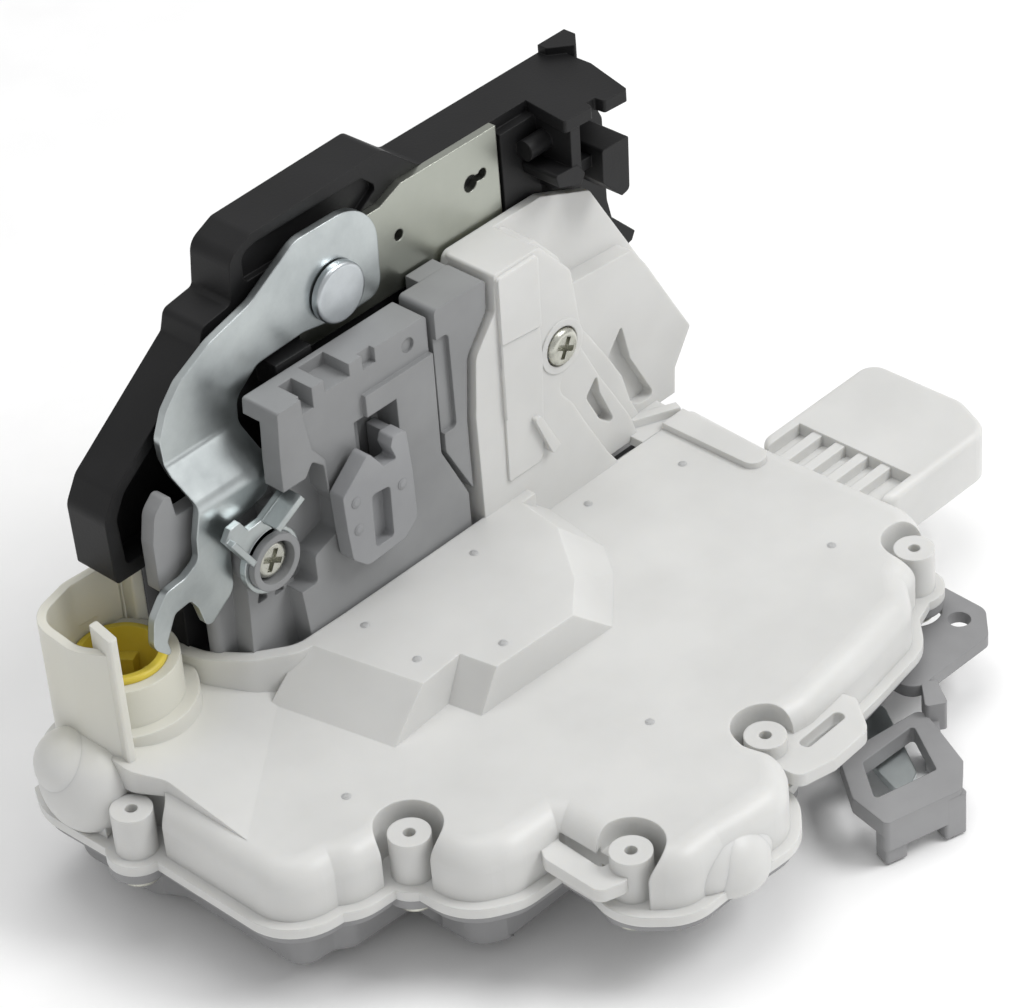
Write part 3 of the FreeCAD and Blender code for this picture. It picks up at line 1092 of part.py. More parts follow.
def inside_lever():
    # Steel lever pulled by the inside-handle cable, working under the tray.
    x, y = CABLE_LEVER_PIVOT
    top = CAGE_TOP_Z - CAGE_T - CABLE_LEVER_GAP
    plate = slab_z([
        (x - 4.6, y + 4.6, 4), (x + 4.6, y + 4.6, 4), (x + 4.4, y - 5.0, 3), (x - 5.0, y - 19.0, 1.5),
        (x - 11.0, y - 21.0, 1.5), (x - 9.0, y - 15.0, 2), (x - 4.4, y - 4.0, 3)],
        top - CABLE_LEVER_T, top)
    return plate.cut(rod_z(x, y, AXLE_R + RUNNING_GAP, -80, 0))


def inside_lever_pin():
    # Headed pin pressed up into the tray's boss.
    x, y = CABLE_LEVER_PIVOT
    head_top = CAGE_TOP_Z - CAGE_T - CABLE_LEVER_GAP - CABLE_LEVER_T - 0.4
    shank = rod_z(x, y, AXLE_R, head_top, TRAY_BOTTOM_Z + 0.6)
    head = rod_z(x, y, 3.6, head_top - 1.2, head_top)
    return joined([shank, head])


save("top_cover", top_cover())
save("base_housing", base_housing())
save("housing_seal", housing_seal())
save("housing_screws", housing_screws())
save("latch_housing", latch_housing())
save("shut_plate", shut_plate())
save("back_plate", back_plate())
save("claw", claw())
save("pawl", pawl())
save("claw_rivet", claw_rivet())
save("lever_rivet", lever_rivet())
save("claw_spring", return_spring(CLAW_PIVOT, CLAW_SPRING))
save("pawl_spring", return_spring(PAWL_PIVOT, PAWL_SPRING))
save("striker_buffer", buffer_block())
save("outside_release_lever", outside_lever())
save("mechanism_carrier", mechanism_carrier())
save("guide_block", guide_block())
save("release_link", release_link())
save("lock_lever", lock_lever())
save("carrier_screw", cross_screw(CARRIER_SCREW[0], CARRIER_SCREW[1], BLOCK_FRONT_Y + 1.6, -9.8))
save("riser_screw", cross_screw(RISER_SCREW[0], RISER_SCREW[1], RISER_FRONT_Y - 1.0, HOUSING_BACK_Y + 1.2))
save("lock_coupling", lock_coupling())
lock_axle, safe_axle = drive_axles()
lock_bed, safe_bed = motor_beds()
lock_worm, lock_start, lock_length = worm(LOCK_WHEEL_X, LOCK_WORM_Y, lock_bed[0], False)
safe_worm, safe_start, safe_length = worm(SAFE_WHEEL_X, SAFE_WORM_Y, safe_bed[1], True)
save("lock_wheel", toothed_wheel(lock_axle[0], lock_axle[1], LOCK_TEETH, 90.0))
save("lock_worm", lock_worm)
save("lock_motor", motor(lock_bed[0], lock_bed[1], lock_bed[2], lock_start - 3.0))
save("lock_wheel_axle", wheel_axle(lock_axle[0], lock_axle[1]))
save("safe_wheel", toothed_wheel(safe_axle[0], safe_axle[1], SAFE_TEETH, -90.0))
save("safe_worm", safe_worm)
save("safe_motor", motor(safe_bed[0], safe_bed[1], safe_bed[2], safe_start + safe_length + 3.0))
save("safe_wheel_axle", wheel_axle(safe_axle[0], safe_axle[1]))
save("latch_switch", microswitch(-60.0, -32.0))
save("lock_switch", microswitch(-64.0, -48.0))
save("contact_carrier", contact_carrier())
save("connector_pins", connector_pins())
save("cable_bracket", cable_bracket())
save("inside_release_lever", inside_lever())
save("inside_lever_pin", inside_lever_pin())
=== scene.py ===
import math

import bmesh
import bpy
from mathutils import Matrix, Vector


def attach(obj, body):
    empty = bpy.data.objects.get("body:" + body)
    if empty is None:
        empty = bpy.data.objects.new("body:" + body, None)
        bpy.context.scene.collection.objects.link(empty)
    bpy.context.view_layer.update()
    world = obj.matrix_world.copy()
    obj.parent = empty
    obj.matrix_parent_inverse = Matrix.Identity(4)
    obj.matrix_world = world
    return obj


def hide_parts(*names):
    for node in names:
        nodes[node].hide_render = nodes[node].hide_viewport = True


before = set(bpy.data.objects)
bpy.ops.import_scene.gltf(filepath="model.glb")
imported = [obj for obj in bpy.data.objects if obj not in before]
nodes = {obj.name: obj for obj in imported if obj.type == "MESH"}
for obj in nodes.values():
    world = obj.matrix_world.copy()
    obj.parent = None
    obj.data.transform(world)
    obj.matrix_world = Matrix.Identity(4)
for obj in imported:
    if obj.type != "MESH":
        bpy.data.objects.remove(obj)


def note_box():
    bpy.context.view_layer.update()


note_box()

# Outlines and places below are in millimetres and turned to metres when a mesh is made
MM = 0.001

# Camera as the photo was taken, in the unit's frame: metres and degrees
CAMERA_AT = (-0.352964, -0.394860, 0.346635)
CAMERA_AZIMUTH = -44.0
CAMERA_ELEVATION = 36.5
CAMERA_ROLL = 4.8
CAMERA_LENS = 137.1
CAMERA_SENSOR = 36.0
CAMERA_NEAR = 0.02
CAMERA_FAR = 50.0

# Edges rounded for the eye
EDGE = 0.32 * MM
SCREW_EDGE = 0.15 * MM
PIN_EDGE = 0.1 * MM
EDGE_SAMPLES = 6

# Moulded plastic: size and contrast of its cloudy tone, drift of its roughness, strength of its grain
CLOUD_MM = 18.0
CLOUD_SPREAD = (0.35, 0.65)
MOULDED_DRIFT = (-0.05, 0.07)
GRAIN_STRENGTH = 0.35
COAT_ROUGHNESS = 0.2
GLOW_RADIUS = (1.6 * MM, 1.5 * MM, 1.3 * MM)

# Plated metal: contrast of its mottled tone, drift of its roughness, size and relief of its drawing marks
PATCH_SPREAD = (0.3, 0.7)
METAL_DRIFT = (-0.08, 0.12)
DRAWN_MM = 0.5
DRAWN_STRENGTH = 0.25
DRAWN_DEPTH = 0.01 * MM

# Axes shared by several pieces: the coupling in the funnel (x, y) and the carrier's boss (x, z)
COUPLING = (-68.0, -9.8)
BOSS = (-45.5, -16.6)


def linear(code):
    # sRGB hex code to a linear colour.
    parts = [int(code[i:i + 2], 16) / 255.0 for i in (1, 3, 5)]
    turned = [p / 12.92 if p <= 0.04045 else ((p + 0.055) / 1.055) ** 2.4 for p in parts]
    return (turned[0], turned[1], turned[2], 1.0)


def add(tree, kind, settings=None, values=None, links=None):
    # One node with its settings, socket values and incoming links.
    node = tree.nodes.new(kind)
    for key, value in (settings or {}).items():
        setattr(node, key, value)
    for key, value in (values or {}).items():
        node.inputs[key].default_value = value
    for key, source in (links or {}).items():
        tree.links.new(source, node.inputs[key])
    return node


def start(name, values):
    # New material with its shader joined to the output, and the piece's own coordinates.
    material = bpy.data.materials.new(name)
    material.use_nodes = True
    tree = material.node_tree
    tree.nodes.clear()
    coords = add(tree, "ShaderNodeTexCoord").outputs["Object"]
    shader = add(tree, "ShaderNodeBsdfPrincipled", values=values)
    add(tree, "ShaderNodeOutputMaterial", links={"Surface": shader.outputs["BSDF"]})
    return material, tree, coords, shader


def mottling(tree, coords, cell_mm, detail, rough=0.5, stretch=(1, 1, 1)):
    # Cloudy or grainy pattern with cells of a real size, stretched along the axes if asked.
    scale = 1.0 / (cell_mm * MM)
    mapped = add(tree, "ShaderNodeMapping", values={"Scale": [scale * s for s in stretch]},
                 links={"Vector": coords})
    clouds = add(tree, "ShaderNodeTexNoise", values={"Scale": 1.0, "Detail": detail, "Roughness": rough},
                 links={"Vector": mapped.outputs["Vector"]})
    return clouds.outputs["Fac"]


def tone_and_gloss(tree, shader, share, tones, spread, rough, drift):
    # Tone between two colours and roughness round its own value, both led by share.
    turn = add(tree, "ShaderNodeMapRange", values={"From Min": spread[0], "From Max": spread[1]},
               links={"Value": share})
    tone = add(tree, "ShaderNodeMix", settings={"data_type": "RGBA"},
               values={6: linear(tones[0]), 7: linear(tones[1])}, links={0: turn.outputs["Result"]})
    gloss = add(tree, "ShaderNodeMapRange", values={"To Min": rough + drift[0], "To Max": rough + drift[1]},
                links={"Value": share})
    tree.links.new(tone.outputs[2], shader.inputs["Base Color"])
    tree.links.new(gloss.outputs["Result"], shader.inputs["Roughness"])


def relief(tree, shader, height, strength, depth, edge):
    # Fine relief over edges that look softly rounded.
    rounded = add(tree, "ShaderNodeBevel", settings={"samples": EDGE_SAMPLES}, values={"Radius": edge})
    bump = add(tree, "ShaderNodeBump", values={"Strength": strength, "Distance": depth},
               links={"Height": height, "Normal": rounded.outputs["Normal"]})
    tree.links.new(bump.outputs["Normal"], shader.inputs["Normal"])


def moulded(name, dark, light, rough, grain_mm=0.35, grain=0.02, soft=0.0, coat=0.0, shine=0.5):
    # Injection-moulded plastic: cloudy tone and the sandy grain of a spark-eroded mould.
    # Real grain is under 0.1 mm across, and it is drawn coarser so that it shows.
    material, tree, coords, shader = start(name, {
        "Subsurface Weight": soft, "Subsurface Radius": GLOW_RADIUS, "Subsurface Scale": 1.0,
        "Coat Weight": coat, "Coat Roughness": COAT_ROUGHNESS, "Specular IOR Level": shine})
    cloud = mottling(tree, coords, CLOUD_MM, detail=4.0)
    fine = mottling(tree, coords, grain_mm, detail=2.0)
    tone_and_gloss(tree, shader, cloud, (dark, light), CLOUD_SPREAD, rough, MOULDED_DRIFT)
    relief(tree, shader, fine, GRAIN_STRENGTH, grain * MM, EDGE)
    return material


def metal(name, dark, light, rough, streak=(1, 1, 1), patch_mm=6.0, edge=EDGE):
    # Rolled or turned metal with a plated skin: mottled tone and drawing marks.
    # Real marks are some hundredths of a millimetre apart, and they are drawn coarser so that they show.
    material, tree, coords, shader = start(name, {"Metallic": 1.0})
    patch = mottling(tree, coords, patch_mm, detail=5.0, rough=0.6)
    marks = mottling(tree, coords, DRAWN_MM, detail=2.0, stretch=streak)
    tone_and_gloss(tree, shader, patch, (dark, light), PATCH_SPREAD, rough, METAL_DRIFT)
    relief(tree, shader, marks, DRAWN_STRENGTH, DRAWN_DEPTH, edge)
    return material


def painted_bounce_light(material, code, centre_mm, full_mm, none_mm, share):
    # Painted light: lets the tone drift to another colour round one place of the moulding, as coloured light
    # bounced onto it.
    tree = material.node_tree
    shader = next(n for n in tree.nodes if n.type == "BSDF_PRINCIPLED")
    coords = next(n for n in tree.nodes if n.type == "TEX_COORD").outputs["Object"]
    base = shader.inputs["Base Color"].links[0].from_socket
    away = add(tree, "ShaderNodeVectorMath", settings={"operation": "DISTANCE"},
               values={1: [c * MM for c in centre_mm]}, links={0: coords})
    near = add(tree, "ShaderNodeMapRange",
               values={"From Min": full_mm * MM, "From Max": none_mm * MM, "To Min": share, "To Max": 0.0},
               links={"Value": away.outputs["Value"]})
    mixed = add(tree, "ShaderNodeMix", settings={"data_type": "RGBA"}, values={7: linear(code)},
                links={0: near.outputs["Result"], 6: base})
    tree.links.new(mixed.outputs[2], shader.inputs["Base Color"])


# Natural-white polyamide of the cover: milky, faintly see-through at thin edges
white_nylon = moulded("natural polyamide", "#CECECC", "#D5D5D3", 0.42, soft=0.35, coat=0.03)
# Painted warm light bounced from the yellow coupling: the tone turns cream round the funnel
painted_bounce_light(white_nylon, "#DBD9C6", centre_mm=(*COUPLING, -24.0), full_mm=11.0, none_mm=23.0, share=0.6)
# Grey glass-filled polyamide of tray and cable bracket: dull, slightly sandy
grey_nylon = moulded("grey polyamide", "#888889", "#969697", 0.52, grain_mm=0.45, grain=0.04)
# Grey acetal of carrier and guide block: smooth with a low sheen
mid_grey = moulded("grey acetal", "#838485", "#909192", 0.44)
# Paler grey acetal of the sliding link: as smooth, a shade lighter than what it slides in
pale_grey = moulded("pale grey acetal", "#8D8E90", "#9A9B9D", 0.42)
# Black glass-filled polyamide of the latch housing: satin, with faint sparkle of glass ends
black_nylon = moulded("black polyamide", "#111112", "#1A1A1B", 0.5, grain_mm=0.5, grain=0.05, shine=0.3)
# Yellow acetal of the lock coupling: waxy and bright
yellow_acetal = moulded("yellow acetal", "#D0BA3A", "#E3CF55", 0.34, soft=0.15)
# White acetal of worms and wheels: milky and slick
white_acetal = moulded("white acetal", "#E0E0DC", "#ECECE8", 0.3, soft=0.15)
# Black nitrile rubber of gasket and buffer: matt and dusty
rubber = moulded("nitrile rubber", "#101011", "#1A1A1B", 0.75, grain_mm=0.8, grain=0.06)
# Zinc-plated rolled sheet of the plates: grey-green with long drawing marks
zinc_plate = metal("zinc-plated sheet", "#A6A9A0", "#B2B5AC", 0.34, streak=(0.15, 1, 3), patch_mm=16.0)
# Bright zinc plating of the pressed levers: bluish and even
zinc_lever = metal("bright zinc plating", "#B1B7B8", "#CAD0D0", 0.31, streak=(0.3, 1, 1), patch_mm=9.0)
# Case-hardened steel of claw and pawl: dark and oiled
hard_steel = metal("case-hardened steel", "#6E6F71", "#87888A", 0.33)
# Turned steel of rivets, axles and pins: clean and bright
turned_steel = metal("turned steel", "#B9BEC1", "#CDD2D5", 0.3, patch_mm=5.0)
# Zinc-plated screw steel: sharp highlights and a faint straw cast
screw_steel = metal("zinc-plated screw steel", "#B9B9B0", "#D6D6CC", 0.26, patch_mm=2.0, edge=SCREW_EDGE)
# Drawn music wire of the springs: dark grey with a soft shine
spring_steel = metal("music wire", "#6E7072", "#85878A", 0.3, patch_mm=2.0)
# Deep-drawn nickel-plated steel of the motor cans: smooth with marks along the draw
motor_steel = metal("nickel-plated steel", "#A7AAAD", "#BFC2C4", 0.3, streak=(3, 0.2, 1))
# Tinned brass of the contact pins: pale yellow with crisp edges
tinned_brass = metal("tinned brass", "#B9A868", "#D3C58C", 0.3, patch_mm=2.0, edge=PIN_EDGE)

FINISH = [
    (white_nylon, ["top_cover"]),
    (grey_nylon, ["base_housing", "cable_bracket"]),
    (mid_grey, ["mechanism_carrier", "guide_block"]),
    (pale_grey, ["release_link"]),
    (black_nylon, ["latch_housing", "latch_switch", "lock_switch", "contact_carrier"]),
    (yellow_acetal, ["lock_coupling"]),
    (white_acetal, ["lock_wheel", "lock_worm", "safe_wheel", "safe_worm"]),
    (rubber, ["housing_seal", "striker_buffer"]),
    (zinc_plate, ["shut_plate", "back_plate"]),
    (zinc_lever, ["outside_release_lever", "lock_lever", "inside_release_lever"]),
    (hard_steel, ["claw", "pawl"]),
    (turned_steel, ["claw_rivet", "lever_rivet", "lock_wheel_axle", "safe_wheel_axle", "inside_lever_pin"]),
    (screw_steel, ["housing_screws", "carrier_screw", "riser_screw"]),
    (spring_steel, ["claw_spring", "pawl_spring"]),
    (motor_steel, ["lock_motor", "safe_motor"]),
    (tinned_brass, ["connector_pins"]),
]


def dress(obj, material):
    # Gives a piece its one material.
    obj.data.materials.clear()
    obj.data.materials.append(material)


for material, names in FINISH:
    for name in names:
        dress(nodes[name], material)


def put(name, data):
    # New object in the scene, at the origin.
    obj = bpy.data.objects.new(name, data)
    bpy.context.scene.collection.objects.link(obj)
    return obj


def sown(name, points, inputs, build, material):
    # Small shape set on every given point by a node tree, made a plain mesh.
    mesh = bpy.data.meshes.new(name + "_points")
    mesh.from_pydata([tuple(c * MM for c in p) for p in points], [], [])
    source = put(name + "_source", mesh)
    tree = bpy.data.node_groups.new(name + " layout", "GeometryNodeTree")
    tree.interface.new_socket("Geometry", in_out="INPUT", socket_type="NodeSocketGeometry")
    sockets = {}
    for label in inputs:
        sockets[label] = tree.interface.new_socket(label, in_out="INPUT", socket_type="NodeSocketFloat")
    tree.interface.new_socket("Geometry", in_out="OUTPUT", socket_type="NodeSocketGeometry")
    entry = add(tree, "NodeGroupInput")
    spots = add(tree, "GeometryNodeMeshToPoints", links={"Mesh": entry.outputs["Geometry"]})
    placed = add(tree, "GeometryNodeInstanceOnPoints",
                 links={"Points": spots.outputs["Points"], "Instance": build(tree, entry)})
    real = add(tree, "GeometryNodeRealizeInstances", links={"Geometry": placed.outputs["Instances"]})
    painted = add(tree, "GeometryNodeSetMaterial", values={"Material": material},
                  links={"Geometry": real.outputs["Geometry"]})
    add(tree, "NodeGroupOutput", links={"Geometry": painted.outputs["Geometry"]})
    modifier = source.modifiers.new("layout", "NODES")
    modifier.node_group = tree
    for label, value in inputs.items():
        modifier[sockets[label].identifier] = value
    bpy.context.view_layer.update()
    ready = source.evaluated_get(bpy.context.evaluated_depsgraph_get())
    made = bpy.data.meshes.new_from_object(ready)
    source.modifiers.clear()
    bpy.data.objects.remove(source)
    return put(name, made)


# Raised round marks of the mould's ejector pins: sides, and the crown's share of radius and height
MARK_SIDES = 20
CROWN_WIDTH = 0.62
CROWN_HEIGHT = 1.5
FIELD_TOP_Z = -33.0
COVER_TOP_Z = -40.0
LINK_FACE_Y = -27.4
MARKS_ON_FIELD = [(-34.3, -29.3), (-35.3, -41.8), (-24.0, -49.6), (-10.0, -30.0)]
MARKS_ON_TOP = [(17.9, -29.0), (-18.0, -74.5), (36.0, -34.0), (34.0, -68.0), (-60.0, -50.0)]
MARKS_ON_LINK = [(-31.6, -11.4), (-31.6, -16.6), (-21.6, -13.6)]


def at_z(plan, z):
    # Outline of x and y, laid at one height.
    return [(x, y, z) for x, y in plan]


def at_y(plan, y):
    # Outline of x and z, stood at one depth.
    return [(x, y, z) for x, z in plan]


def low_stud(turn):
    # Flat round stud with a smaller crown, its axis turned as given.
    def build(tree, entry):
        base = add(tree, "GeometryNodeMeshCylinder", values={"Vertices": MARK_SIDES},
                   links={"Radius": entry.outputs["Radius"], "Depth": entry.outputs["Height"]})
        inner = add(tree, "ShaderNodeMath", settings={"operation": "MULTIPLY"}, values={1: CROWN_WIDTH},
                    links={0: entry.outputs["Radius"]})
        taller = add(tree, "ShaderNodeMath", settings={"operation": "MULTIPLY"}, values={1: CROWN_HEIGHT},
                     links={0: entry.outputs["Height"]})
        crown = add(tree, "GeometryNodeMeshCylinder", values={"Vertices": MARK_SIDES},
                    links={"Radius": inner.outputs[0], "Depth": taller.outputs[0]})
        both = add(tree, "GeometryNodeJoinGeometry", links={"Geometry": base.outputs["Mesh"]})
        tree.links.new(crown.outputs["Mesh"], both.inputs["Geometry"])
        turned = add(tree, "GeometryNodeTransform", values={"Rotation": turn},
                     links={"Geometry": both.outputs["Geometry"]})
        return turned.outputs["Geometry"]
    return build


cover_marks = sown("cover_marks", at_z(MARKS_ON_FIELD, FIELD_TOP_Z) + at_z(MARKS_ON_TOP, COVER_TOP_Z),
                   {"Radius": 0.75 * MM, "Height": 0.12 * MM}, low_stud((0, 0, 0)), white_nylon)
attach(cover_marks, "actuator_frame")

link_marks = sown("link_marks", at_y(MARKS_ON_LINK, LINK_FACE_Y),
                  {"Radius": 0.95 * MM, "Height": 0.2 * MM}, low_stud((math.pi / 2, 0, 0)), pale_grey)
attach(link_marks, "release_link_body")

# Threads in the three sleeves behind the shut plate, each turn drawn as a ring
DOOR_THREADS = [(-42.0, 3.0), (-27.0, -30.0), (46.0, -30.0)]
THREAD_TURNS = 7
THREAD_PITCH = 1.25
THREAD_START_Y = -0.8
THREAD_RADIUS = 3.42
THREAD_WIRE = 0.36
RING_SIDES = 40
WIRE_SIDES = 6


def thread_ring(tree, entry):
    # One turn of a screw thread drawn as a ring, its axis along Y.
    path = add(tree, "GeometryNodeCurvePrimitiveCircle", values={"Resolution": RING_SIDES},
               links={"Radius": entry.outputs["Radius"]})
    profile = add(tree, "GeometryNodeCurvePrimitiveCircle", values={"Resolution": WIRE_SIDES},
                  links={"Radius": entry.outputs["Wire"]})
    tube = add(tree, "GeometryNodeCurveToMesh",
               links={"Curve": path.outputs["Curve"], "Profile Curve": profile.outputs["Curve"]})
    turned = add(tree, "GeometryNodeTransform", values={"Rotation": (math.pi / 2, 0, 0)},
                 links={"Geometry": tube.outputs["Mesh"]})
    return turned.outputs["Geometry"]


thread_points = [(x, THREAD_START_Y - THREAD_PITCH * k, z)
                 for x, z in DOOR_THREADS for k in range(THREAD_TURNS)]
door_threads = sown("door_threads", thread_points,
                    {"Radius": THREAD_RADIUS * MM, "Wire": THREAD_WIRE * MM}, thread_ring, screw_steel)
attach(door_threads, "actuator_frame")


def solid(name, build, material):
    # Closed mesh object from a function that fills a bmesh in millimetres.
    bm = bmesh.new()
    build(bm)
    bmesh.ops.scale(bm, vec=(MM, MM, MM), verts=bm.verts)
    bmesh.ops.recalc_face_normals(bm, faces=bm.faces)
    mesh = bpy.data.meshes.new(name)
    bm.to_mesh(mesh)
    bm.free()
    obj = put(name, mesh)
    dress(obj, material)
    return obj


def prism(bm, lower, upper):
    # Closed prism between two outlines with equally many corners.
    a = [bm.verts.new(p) for p in lower]
    b = [bm.verts.new(p) for p in upper]
    bm.faces.new(a)
    bm.faces.new(list(reversed(b)))
    for k in range(len(a)):
        after = (k + 1) % len(a)
        bm.faces.new((a[k], b[k], b[after], a[after]))


def arc(centre, radius, first, last, count):
    # Points along an arc between two angles in degrees.
    turns = [math.radians(first + (last - first) * k / (count - 1)) for k in range(count)]
    return [(centre[0] + radius * math.cos(t), centre[1] + radius * math.sin(t)) for t in turns]


# Half-moon steps inside the lock coupling that guide the key bar into its slot
STEP_OUTER = 5.7
STEP_INNER = 3.5
STEP_SWEEP = 136
STEP_LOW_Z = -36.4
STEP_HIGH_Z = -31.2


def coupling_steps(bm):
    for first in (22.0, 202.0):
        last = first + STEP_SWEEP
        outer = arc(COUPLING, STEP_OUTER, first, last, count=18)
        inner = arc(COUPLING, STEP_INNER, last, first, count=14)
        prism(bm, at_z(outer + inner, STEP_LOW_Z), at_z(outer + inner, STEP_HIGH_Z))


steps = solid("coupling_steps", coupling_steps, yellow_acetal)
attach(steps, "lock_coupling_body")

# Lock lever of folded sheet: ring on the carrier's boss, arm, and flange and hook turned forward
LEVER_RING_OUTER = 5.7
LEVER_RING_INNER = 4.95
LEVER_BACK_Y = -21.0
LEVER_FRONT_Y = -22.2
LEVER_FOLD_Y = LEVER_FRONT_Y + 0.1
LEVER_FLANGE_Y = -25.6
LEVER_HOOK_Y = LEVER_FRONT_Y - 1.4
LEVER_ARM = [(-54.2, -8.4), (-52.9, -6.5), (-50.9, -6.2), (-49.4, -8.6), (-46.6, -8.4), (-40.9, -5.4),
             (-39.6, -7.2), (-42.6, -11.4), (-45.8, -11.8), (-48.4, -12.6), (-50.4, -14.4)]
LEVER_FLANGE = [(-46.6, -8.4), (-40.9, -5.4), (-40.3, -6.4), (-46.0, -9.4)]
LEVER_HOOK = [(-54.2, -8.4), (-50.4, -14.4), (-49.6, -13.8), (-53.2, -8.0)]


def lock_lever_sheet(bm):
    outer = arc(BOSS, LEVER_RING_OUTER, 0, 180, count=24)
    inner = arc(BOSS, LEVER_RING_INNER, 180, 0, count=24)
    for flip in (1, -1):
        plan = [(x, BOSS[1] + flip * (z - BOSS[1])) for x, z in outer + inner]
        prism(bm, at_y(plan, LEVER_BACK_Y), at_y(plan, LEVER_FRONT_Y))
    prism(bm, at_y(LEVER_ARM, LEVER_BACK_Y), at_y(LEVER_ARM, LEVER_FRONT_Y))
    prism(bm, at_y(LEVER_FLANGE, LEVER_FOLD_Y), at_y(LEVER_FLANGE, LEVER_FLANGE_Y))
    prism(bm, at_y(LEVER_HOOK, LEVER_FOLD_Y), at_y(LEVER_HOOK, LEVER_HOOK_Y))


lever_sheet = solid("lock_lever_sheet", lock_lever_sheet, zinc_lever)
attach(lever_sheet, "lock_lever_body")
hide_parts("lock_lever")

# Floor and low ridge closing the corner between the cover's rear edge and the riser
WEB_FLOOR = [(36.6, -25.0), (46.9, -25.0), (47.4, -14.6), (36.6, -14.6)]
WEB_FLOOR_Z = (-41.8, -40.02)
WEB_RIDGE = [(38.4, -20.6), (46.6, -24.4), (47.2, -22.8), (39.0, -18.8)]
WEB_RIDGE_Z = (-41.0, -38.4)


def rear_web(bm):
    for plan, (low, high) in ((WEB_FLOOR, WEB_FLOOR_Z), (WEB_RIDGE, WEB_RIDGE_Z)):
        prism(bm, at_z(plan, low), at_z(plan, high))


web = solid("rear_web", rear_web, white_nylon)
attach(web, "actuator_frame")

# Rolled bead round the striker slot: how far foot and crest reach out from the slot's edge
SLOT_HALF = 6.2
SLOT_ARC_Z = -1.2
SLOT_STRAIGHT_Z = -24.0
SLOT_FLARE = 4.0
SLOT_FLARE_Z = -33.4
SLOT_MOUTH_Z = -37.4
BEAD_FOOT = (2.6, 0.0)
BEAD_CREST = (1.9, 0.5)
BEAD_Y = (-0.3, 0.7)


def slot_side(reach):
    # Slot outline moved out by reach, from the left mouth over the round end to the right mouth.
    half = SLOT_HALF + reach
    left = [(-half - SLOT_FLARE, SLOT_MOUTH_Z), (-half - SLOT_FLARE, SLOT_FLARE_Z), (-half, SLOT_STRAIGHT_Z)]
    crown = arc((0.0, SLOT_ARC_Z), half, 180, 0, count=25)
    return left + crown + [(-x, z) for x, z in reversed(left)]


def slot_bead(bm):
    low, high = [slot_side(outer) + slot_side(inner)[::-1] for outer, inner in (BEAD_FOOT, BEAD_CREST)]
    prism(bm, at_y(low, BEAD_Y[0]), at_y(high, BEAD_Y[1]))


bead = solid("slot_bead", slot_bead, zinc_plate)
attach(bead, "actuator_frame")

# Peened ends of claw and lever rivet on the shut face: centre and radius, then the head's steps
RIVET_ENDS = [((19.0, 0.0), 4.7), ((-19.7, 16.7), 4.2)]
RIVET_SIDES = 45
RIVET_CROWN_IN = 0.9
RIVET_RIM_Y = (-0.2, 0.25)
RIVET_CROWN_Y = (0.2, 0.75)


def rivet_ends(bm):
    last = 360 - 360 / RIVET_SIDES
    for centre, radius in RIVET_ENDS:
        wide = arc(centre, radius, 0, last, RIVET_SIDES)
        narrow = arc(centre, radius - RIVET_CROWN_IN, 0, last, RIVET_SIDES)
        prism(bm, at_y(wide, RIVET_RIM_Y[0]), at_y(wide, RIVET_RIM_Y[1]))
        prism(bm, at_y(wide, RIVET_CROWN_Y[0]), at_y(narrow, RIVET_CROWN_Y[1]))


ends = solid("rivet_ends", rivet_ends, turned_steel)
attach(ends, "actuator_frame")

# Soft swellings of the cover's side round its two domes: centre and half sizes, cut off at the seam
SWELLINGS = [((-80.6, -13.0, -42.5), (6.9, 8.2, 9.2)), ((-27.0, -95.4, -48.4), (10.4, 7.3, 7.2))]
SEAM_Z = -51.3


def swellings(bm):
    for centre, half in SWELLINGS:
        place = Matrix.Translation(centre) @ Matrix.Diagonal((*half, 1.0))
        bmesh.ops.create_uvsphere(bm, u_segments=56, v_segments=32, radius=1.0, matrix=place)
    everything = bm.verts[:] + bm.edges[:] + bm.faces[:]
    bmesh.ops.bisect_plane(bm, geom=everything, plane_co=(0, 0, SEAM_Z), plane_no=(0, 0, 1),
                           clear_inner=True)
    bmesh.ops.holes_fill(bm, edges=[e for e in bm.edges if e.is_boundary])
    for face in bm.faces:
        # Only the flat cut has more corners, and it stays flat
        face.smooth = len(face.verts) < 5
    # The cut leaves its faces in chance order, and a fixed one gives the same mesh each run
    bm.verts.index_update()
    bm.faces.sort(key=lambda face: face.verts[0].index * len(bm.verts) + face.verts[1].index)


soft_domes = solid("cover_swellings", swellings, white_nylon)
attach(soft_domes, "actuator_frame")

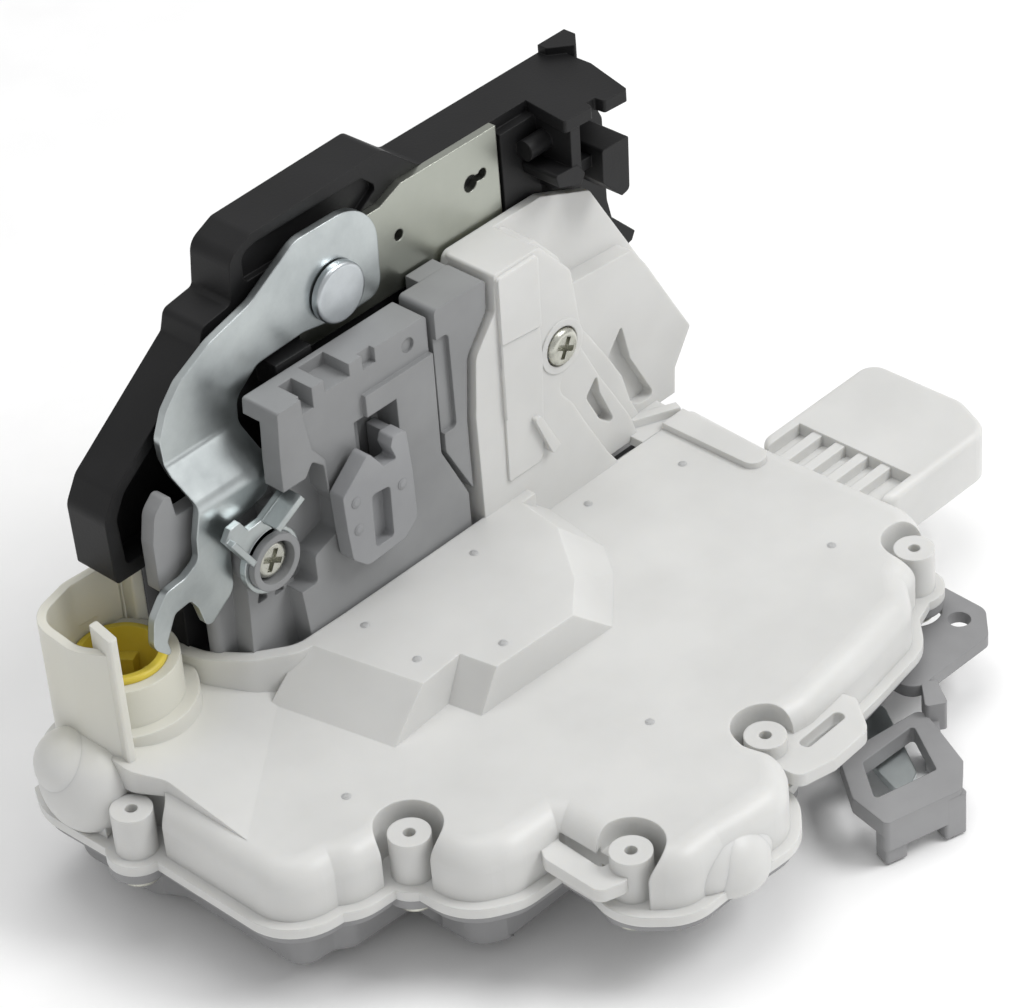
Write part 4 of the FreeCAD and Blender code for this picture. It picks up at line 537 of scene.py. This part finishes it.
# Plain pale floor under the unit, in metres
FLOOR_Z = -0.0665
FLOOR_PLAN = [(-6.0, -6.0), (6.0, -6.0), (6.0, 6.0), (-6.0, 6.0)]
floor_mesh = bpy.data.meshes.new("floor")
floor_mesh.from_pydata(at_z(FLOOR_PLAN, FLOOR_Z), [], [(0, 1, 2, 3)])
floor = put("floor", floor_mesh)
# Matt floor paint: near white, without grain
dress(floor, moulded("floor paint", "#FBFBFB", "#FEFEFE", 0.9, grain_mm=4.0, grain=0.0))

# Studio light: two soft boxes over a white surround, in metres and watts
LIGHT_AIM = (0, -0.05, -0.03)
LIGHTS = [("key light", (0.45, -0.60, 0.75), 0.45, 5.5), ("top light", (0.05, 0.05, 0.95), 0.6, 2.4)]
SURROUND_STRENGTH = 0.58


def soft_light(name, at, size, power):
    lamp = bpy.data.lights.new(name, "AREA")
    lamp.shape = "SQUARE"
    lamp.size = size
    lamp.energy = power
    obj = put(name, lamp)
    obj.location = at
    obj.rotation_mode = "QUATERNION"
    obj.rotation_quaternion = (Vector(LIGHT_AIM) - Vector(at)).to_track_quat("-Z", "Y")


for name, at, size, power in LIGHTS:
    soft_light(name, at, size, power)

world = bpy.data.worlds.new("studio")
bpy.context.scene.world = world
world.use_nodes = True
surround = world.node_tree.nodes["Background"]
surround.inputs["Color"].default_value = (1, 1, 1, 1)
surround.inputs["Strength"].default_value = SURROUND_STRENGTH
bpy.context.scene.view_settings.view_transform = "Standard"


def photo_camera():
    # Axes of the camera from azimuth, elevation and roll.
    az, el, roll = (math.radians(a) for a in (CAMERA_AZIMUTH, CAMERA_ELEVATION, CAMERA_ROLL))
    back = Vector((math.sin(az) * math.cos(el), -math.cos(az) * math.cos(el), math.sin(el)))
    level = Vector((math.cos(az), math.sin(az), 0))
    rise = back.cross(level)
    right = level * math.cos(roll) - rise * math.sin(roll)
    up = level * math.sin(roll) + rise * math.cos(roll)
    data = bpy.data.cameras.new("photo camera")
    data.lens = CAMERA_LENS
    data.sensor_width = CAMERA_SENSOR
    data.clip_start = CAMERA_NEAR
    data.clip_end = CAMERA_FAR
    camera = put("photo camera", data)
    camera.matrix_world = Matrix.Translation(CAMERA_AT) @ Matrix((right, up, back)).transposed().to_4x4()
    bpy.context.scene.camera = camera


photo_camera()
note_box()
